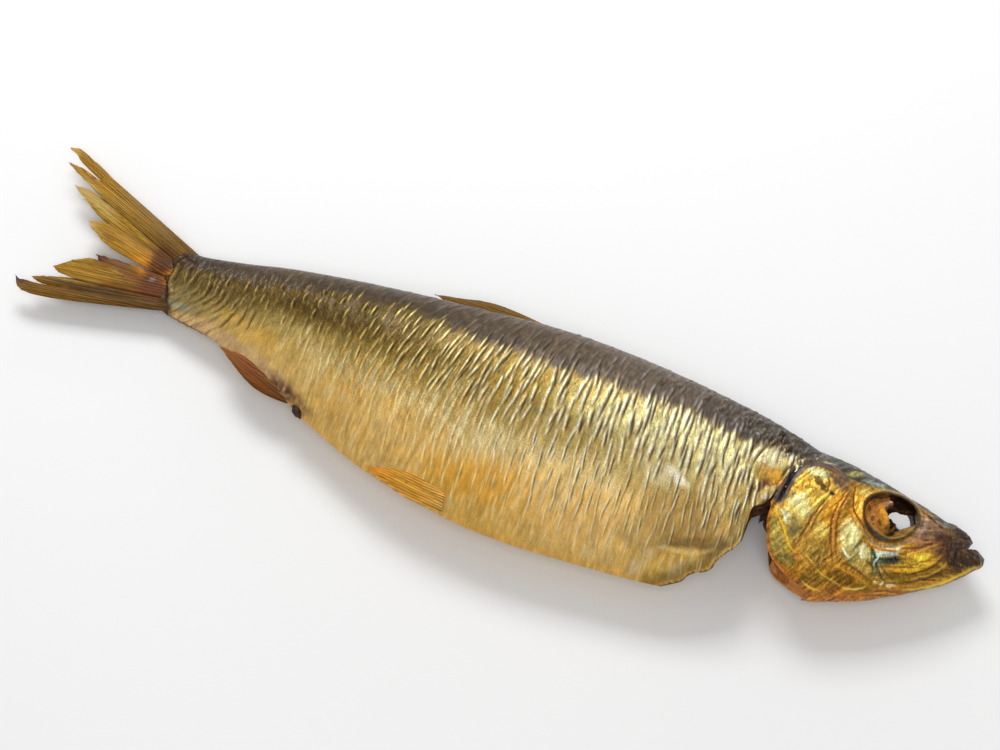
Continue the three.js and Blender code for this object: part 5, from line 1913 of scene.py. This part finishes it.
def bump(material, height, distance, strength):
    values = {"Height": height, "Distance": distance, "Strength": strength}
    return node(material, "Bump", "Normal", values)


def make_skin_material():
    """Gilded skin: painted zones under fine foil-like grain, glossy with oil."""
    material, shader = new_material("smoked_skin")
    streaks = noise(material, (1.0, 0.16, 0.16), 1500, 4)
    grain = noise(material, EVEN, 1400, 3)
    glitter = noise(material, EVEN, 2700, 2)
    warm = noise(material, EVEN, 2300, 2)
    metal = attribute(material, "metal", "Fac")
    colour = attribute(material, "paint", "Color")
    colour = shade(material, colour, remap(material, streaks, 0.3, 0.7, 0.86, 1.14))
    glint = maths(material, "MULTIPLY", remap(material, glitter, 0.35, 0.65, -0.42, 0.42), metal)
    colour = shade(material, colour, maths(material, "ADD", glint, 1.0))
    warmth = maths(material, "MULTIPLY", remap(material, warm, 0.56, 0.72, 0.0, 0.45), metal)
    relief = maths(material, "ADD", streaks, maths(material, "MULTIPLY", glitter, 0.5))
    plug(material, shader.inputs, {
        "Base Color": tint(material, colour, warmth, WARM_GLINT),
        "Metallic": maths(material, "MULTIPLY", metal, remap(material, grain, 0.35, 0.65, 0.55, 1.0)),
        "Roughness": remap(material, grain, 0.3, 0.7, 0.27, 0.42),
        "Specular IOR Level": 0.24,
        "Coat Weight": 0.10,
        "Coat Roughness": 0.16,
        "Normal": bump(material, relief, 0.00026, 0.7),
    })
    return material


def grained_material(name, grain_look, shades, roughness, specular, relief):
    """Painted colours under one grain, which also sets the gloss and the relief."""
    material, shader = new_material(name)
    grain = noise(material, *grain_look)
    colour = attribute(material, "paint", "Color")
    plug(material, shader.inputs, {
        "Base Color": shade(material, colour, remap(material, grain, 0.3, 0.7, *shades)),
        "Roughness": remap(material, grain, 0.3, 0.7, *roughness),
        "Specular IOR Level": specular,
        "Normal": bump(material, grain, *relief),
    })
    return material


def make_flesh_material():
    """Lumpy and dull."""
    return grained_material("dried_flesh", (EVEN, 700, 4), (0.6, 1.35), (0.28, 0.5), 0.08, (0.0005, 0.8))


def make_fin_material():
    """Fibres that run along the fins."""
    look = ((0.35, 1.6, 1.0), 900, 3)
    return grained_material("fin_membrane", look, (0.84, 1.2), (0.32, 0.5), 0.12, (0.0002, 0.5))


skin_material = make_skin_material()
flesh_material = make_flesh_material()
fin_material = make_fin_material()


# ================================================================ the table, the light and the camera
FLOOR_SIZE = 3.0
WHITE = (1, 1, 1)
WORLD_STRENGTH = 0.42
# Softboxes: the way to each, how far off it is, its size, its power and its colour.
LIGHTS = {
    "key": ((-0.35, 0.70, 0.75), 0.9, (0.45, 0.3), 5.0, WHITE),
    "front": ((0.15, -0.35, 1.0), 1.1, (0.5, 0.5), 3.0, WHITE),
    "rim": ((0.1, 1.0, 0.28), 0.9, (0.8, 0.12), 0.6, (0.94, 0.97, 1.0)),
}


def make_floor():
    mesh = bpy.data.meshes.new("floor")
    corners = [(x * FLOOR_SIZE, y * FLOOR_SIZE, 0) for x, y in ((-1, -1), (1, -1), (1, 1), (-1, 1))]
    mesh.from_pydata(corners, [], [(0, 1, 2, 3)])
    material, shader = new_material("pale_table")
    look = {"Base Color": (0.9, 0.9, 0.9, 1), "Roughness": 0.7, "Specular IOR Level": 0.2}
    plug(material, shader.inputs, look)
    mesh.materials.append(material)
    floor = place_in_scene("floor", mesh)


def aim(holder, way, distance):
    """Puts a light or the camera this far off, looking at the middle of the fish."""
    holder.location = Vector(CAMERA_TARGET) + way * distance
    holder.rotation_euler = way.to_track_quat("Z", "Y").to_euler()


def make_light(name, direction, distance, size, power, colour):
    lamp = bpy.data.lights.new(name, "AREA")
    lamp.shape = "RECTANGLE"
    lamp.size, lamp.size_y = size
    lamp.energy = power
    lamp.color = colour
    aim(place_in_scene(name, lamp), Vector(direction).normalized(), distance)


def make_world():
    world = bpy.data.worlds.new("studio")
    world.use_nodes = True
    background = world.node_tree.nodes["Background"]
    background.inputs["Color"].default_value = (*WHITE, 1)
    background.inputs["Strength"].default_value = WORLD_STRENGTH
    bpy.context.scene.world = world


def make_camera():
    azimuth, elevation = math.radians(CAMERA_AZIMUTH), math.radians(CAMERA_ELEVATION)
    back = Vector((math.sin(azimuth) * math.cos(elevation), -math.cos(azimuth) * math.cos(elevation),
                   math.sin(elevation)))
    lens = bpy.data.cameras.new("camera")
    lens.lens = CAMERA_LENS
    lens.sensor_width = CAMERA_SENSOR
    lens.clip_start = 0.01
    camera = place_in_scene("camera", lens)
    aim(camera, back, CAMERA_DISTANCE)
    bpy.context.scene.camera = camera


# ================================================================ all together
make_camera()
make_floor()
make_world()
for name, light in LIGHTS.items():
    make_light(name, *light)
bpy.context.scene.view_settings.view_transform = "Standard"

trunk = make_trunk()
head = make_head()
throat = cutter("throat", [*throat_solids(), hollow(BELLY_HOLLOW, trunk_form, 111)])
carve(trunk, [throat])
gills = cutter("gills", [behind_gill_covers(), throat_solids()[1], hollow(GILL_HOLLOW, head_form, 112)])
mouth = cutter("mouth", [prism(MOUTH, ragged=0.1, seed=106)])
eyes = cutter("eyes", [socket()])
carve(head, [gills, mouth, eyes])

pieces = [trunk, head, make_tail(), make_dorsal(), make_anal(), make_pelvic(), make_vent()]
for piece in pieces:
    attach(piece, "root")
    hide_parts(NODE)
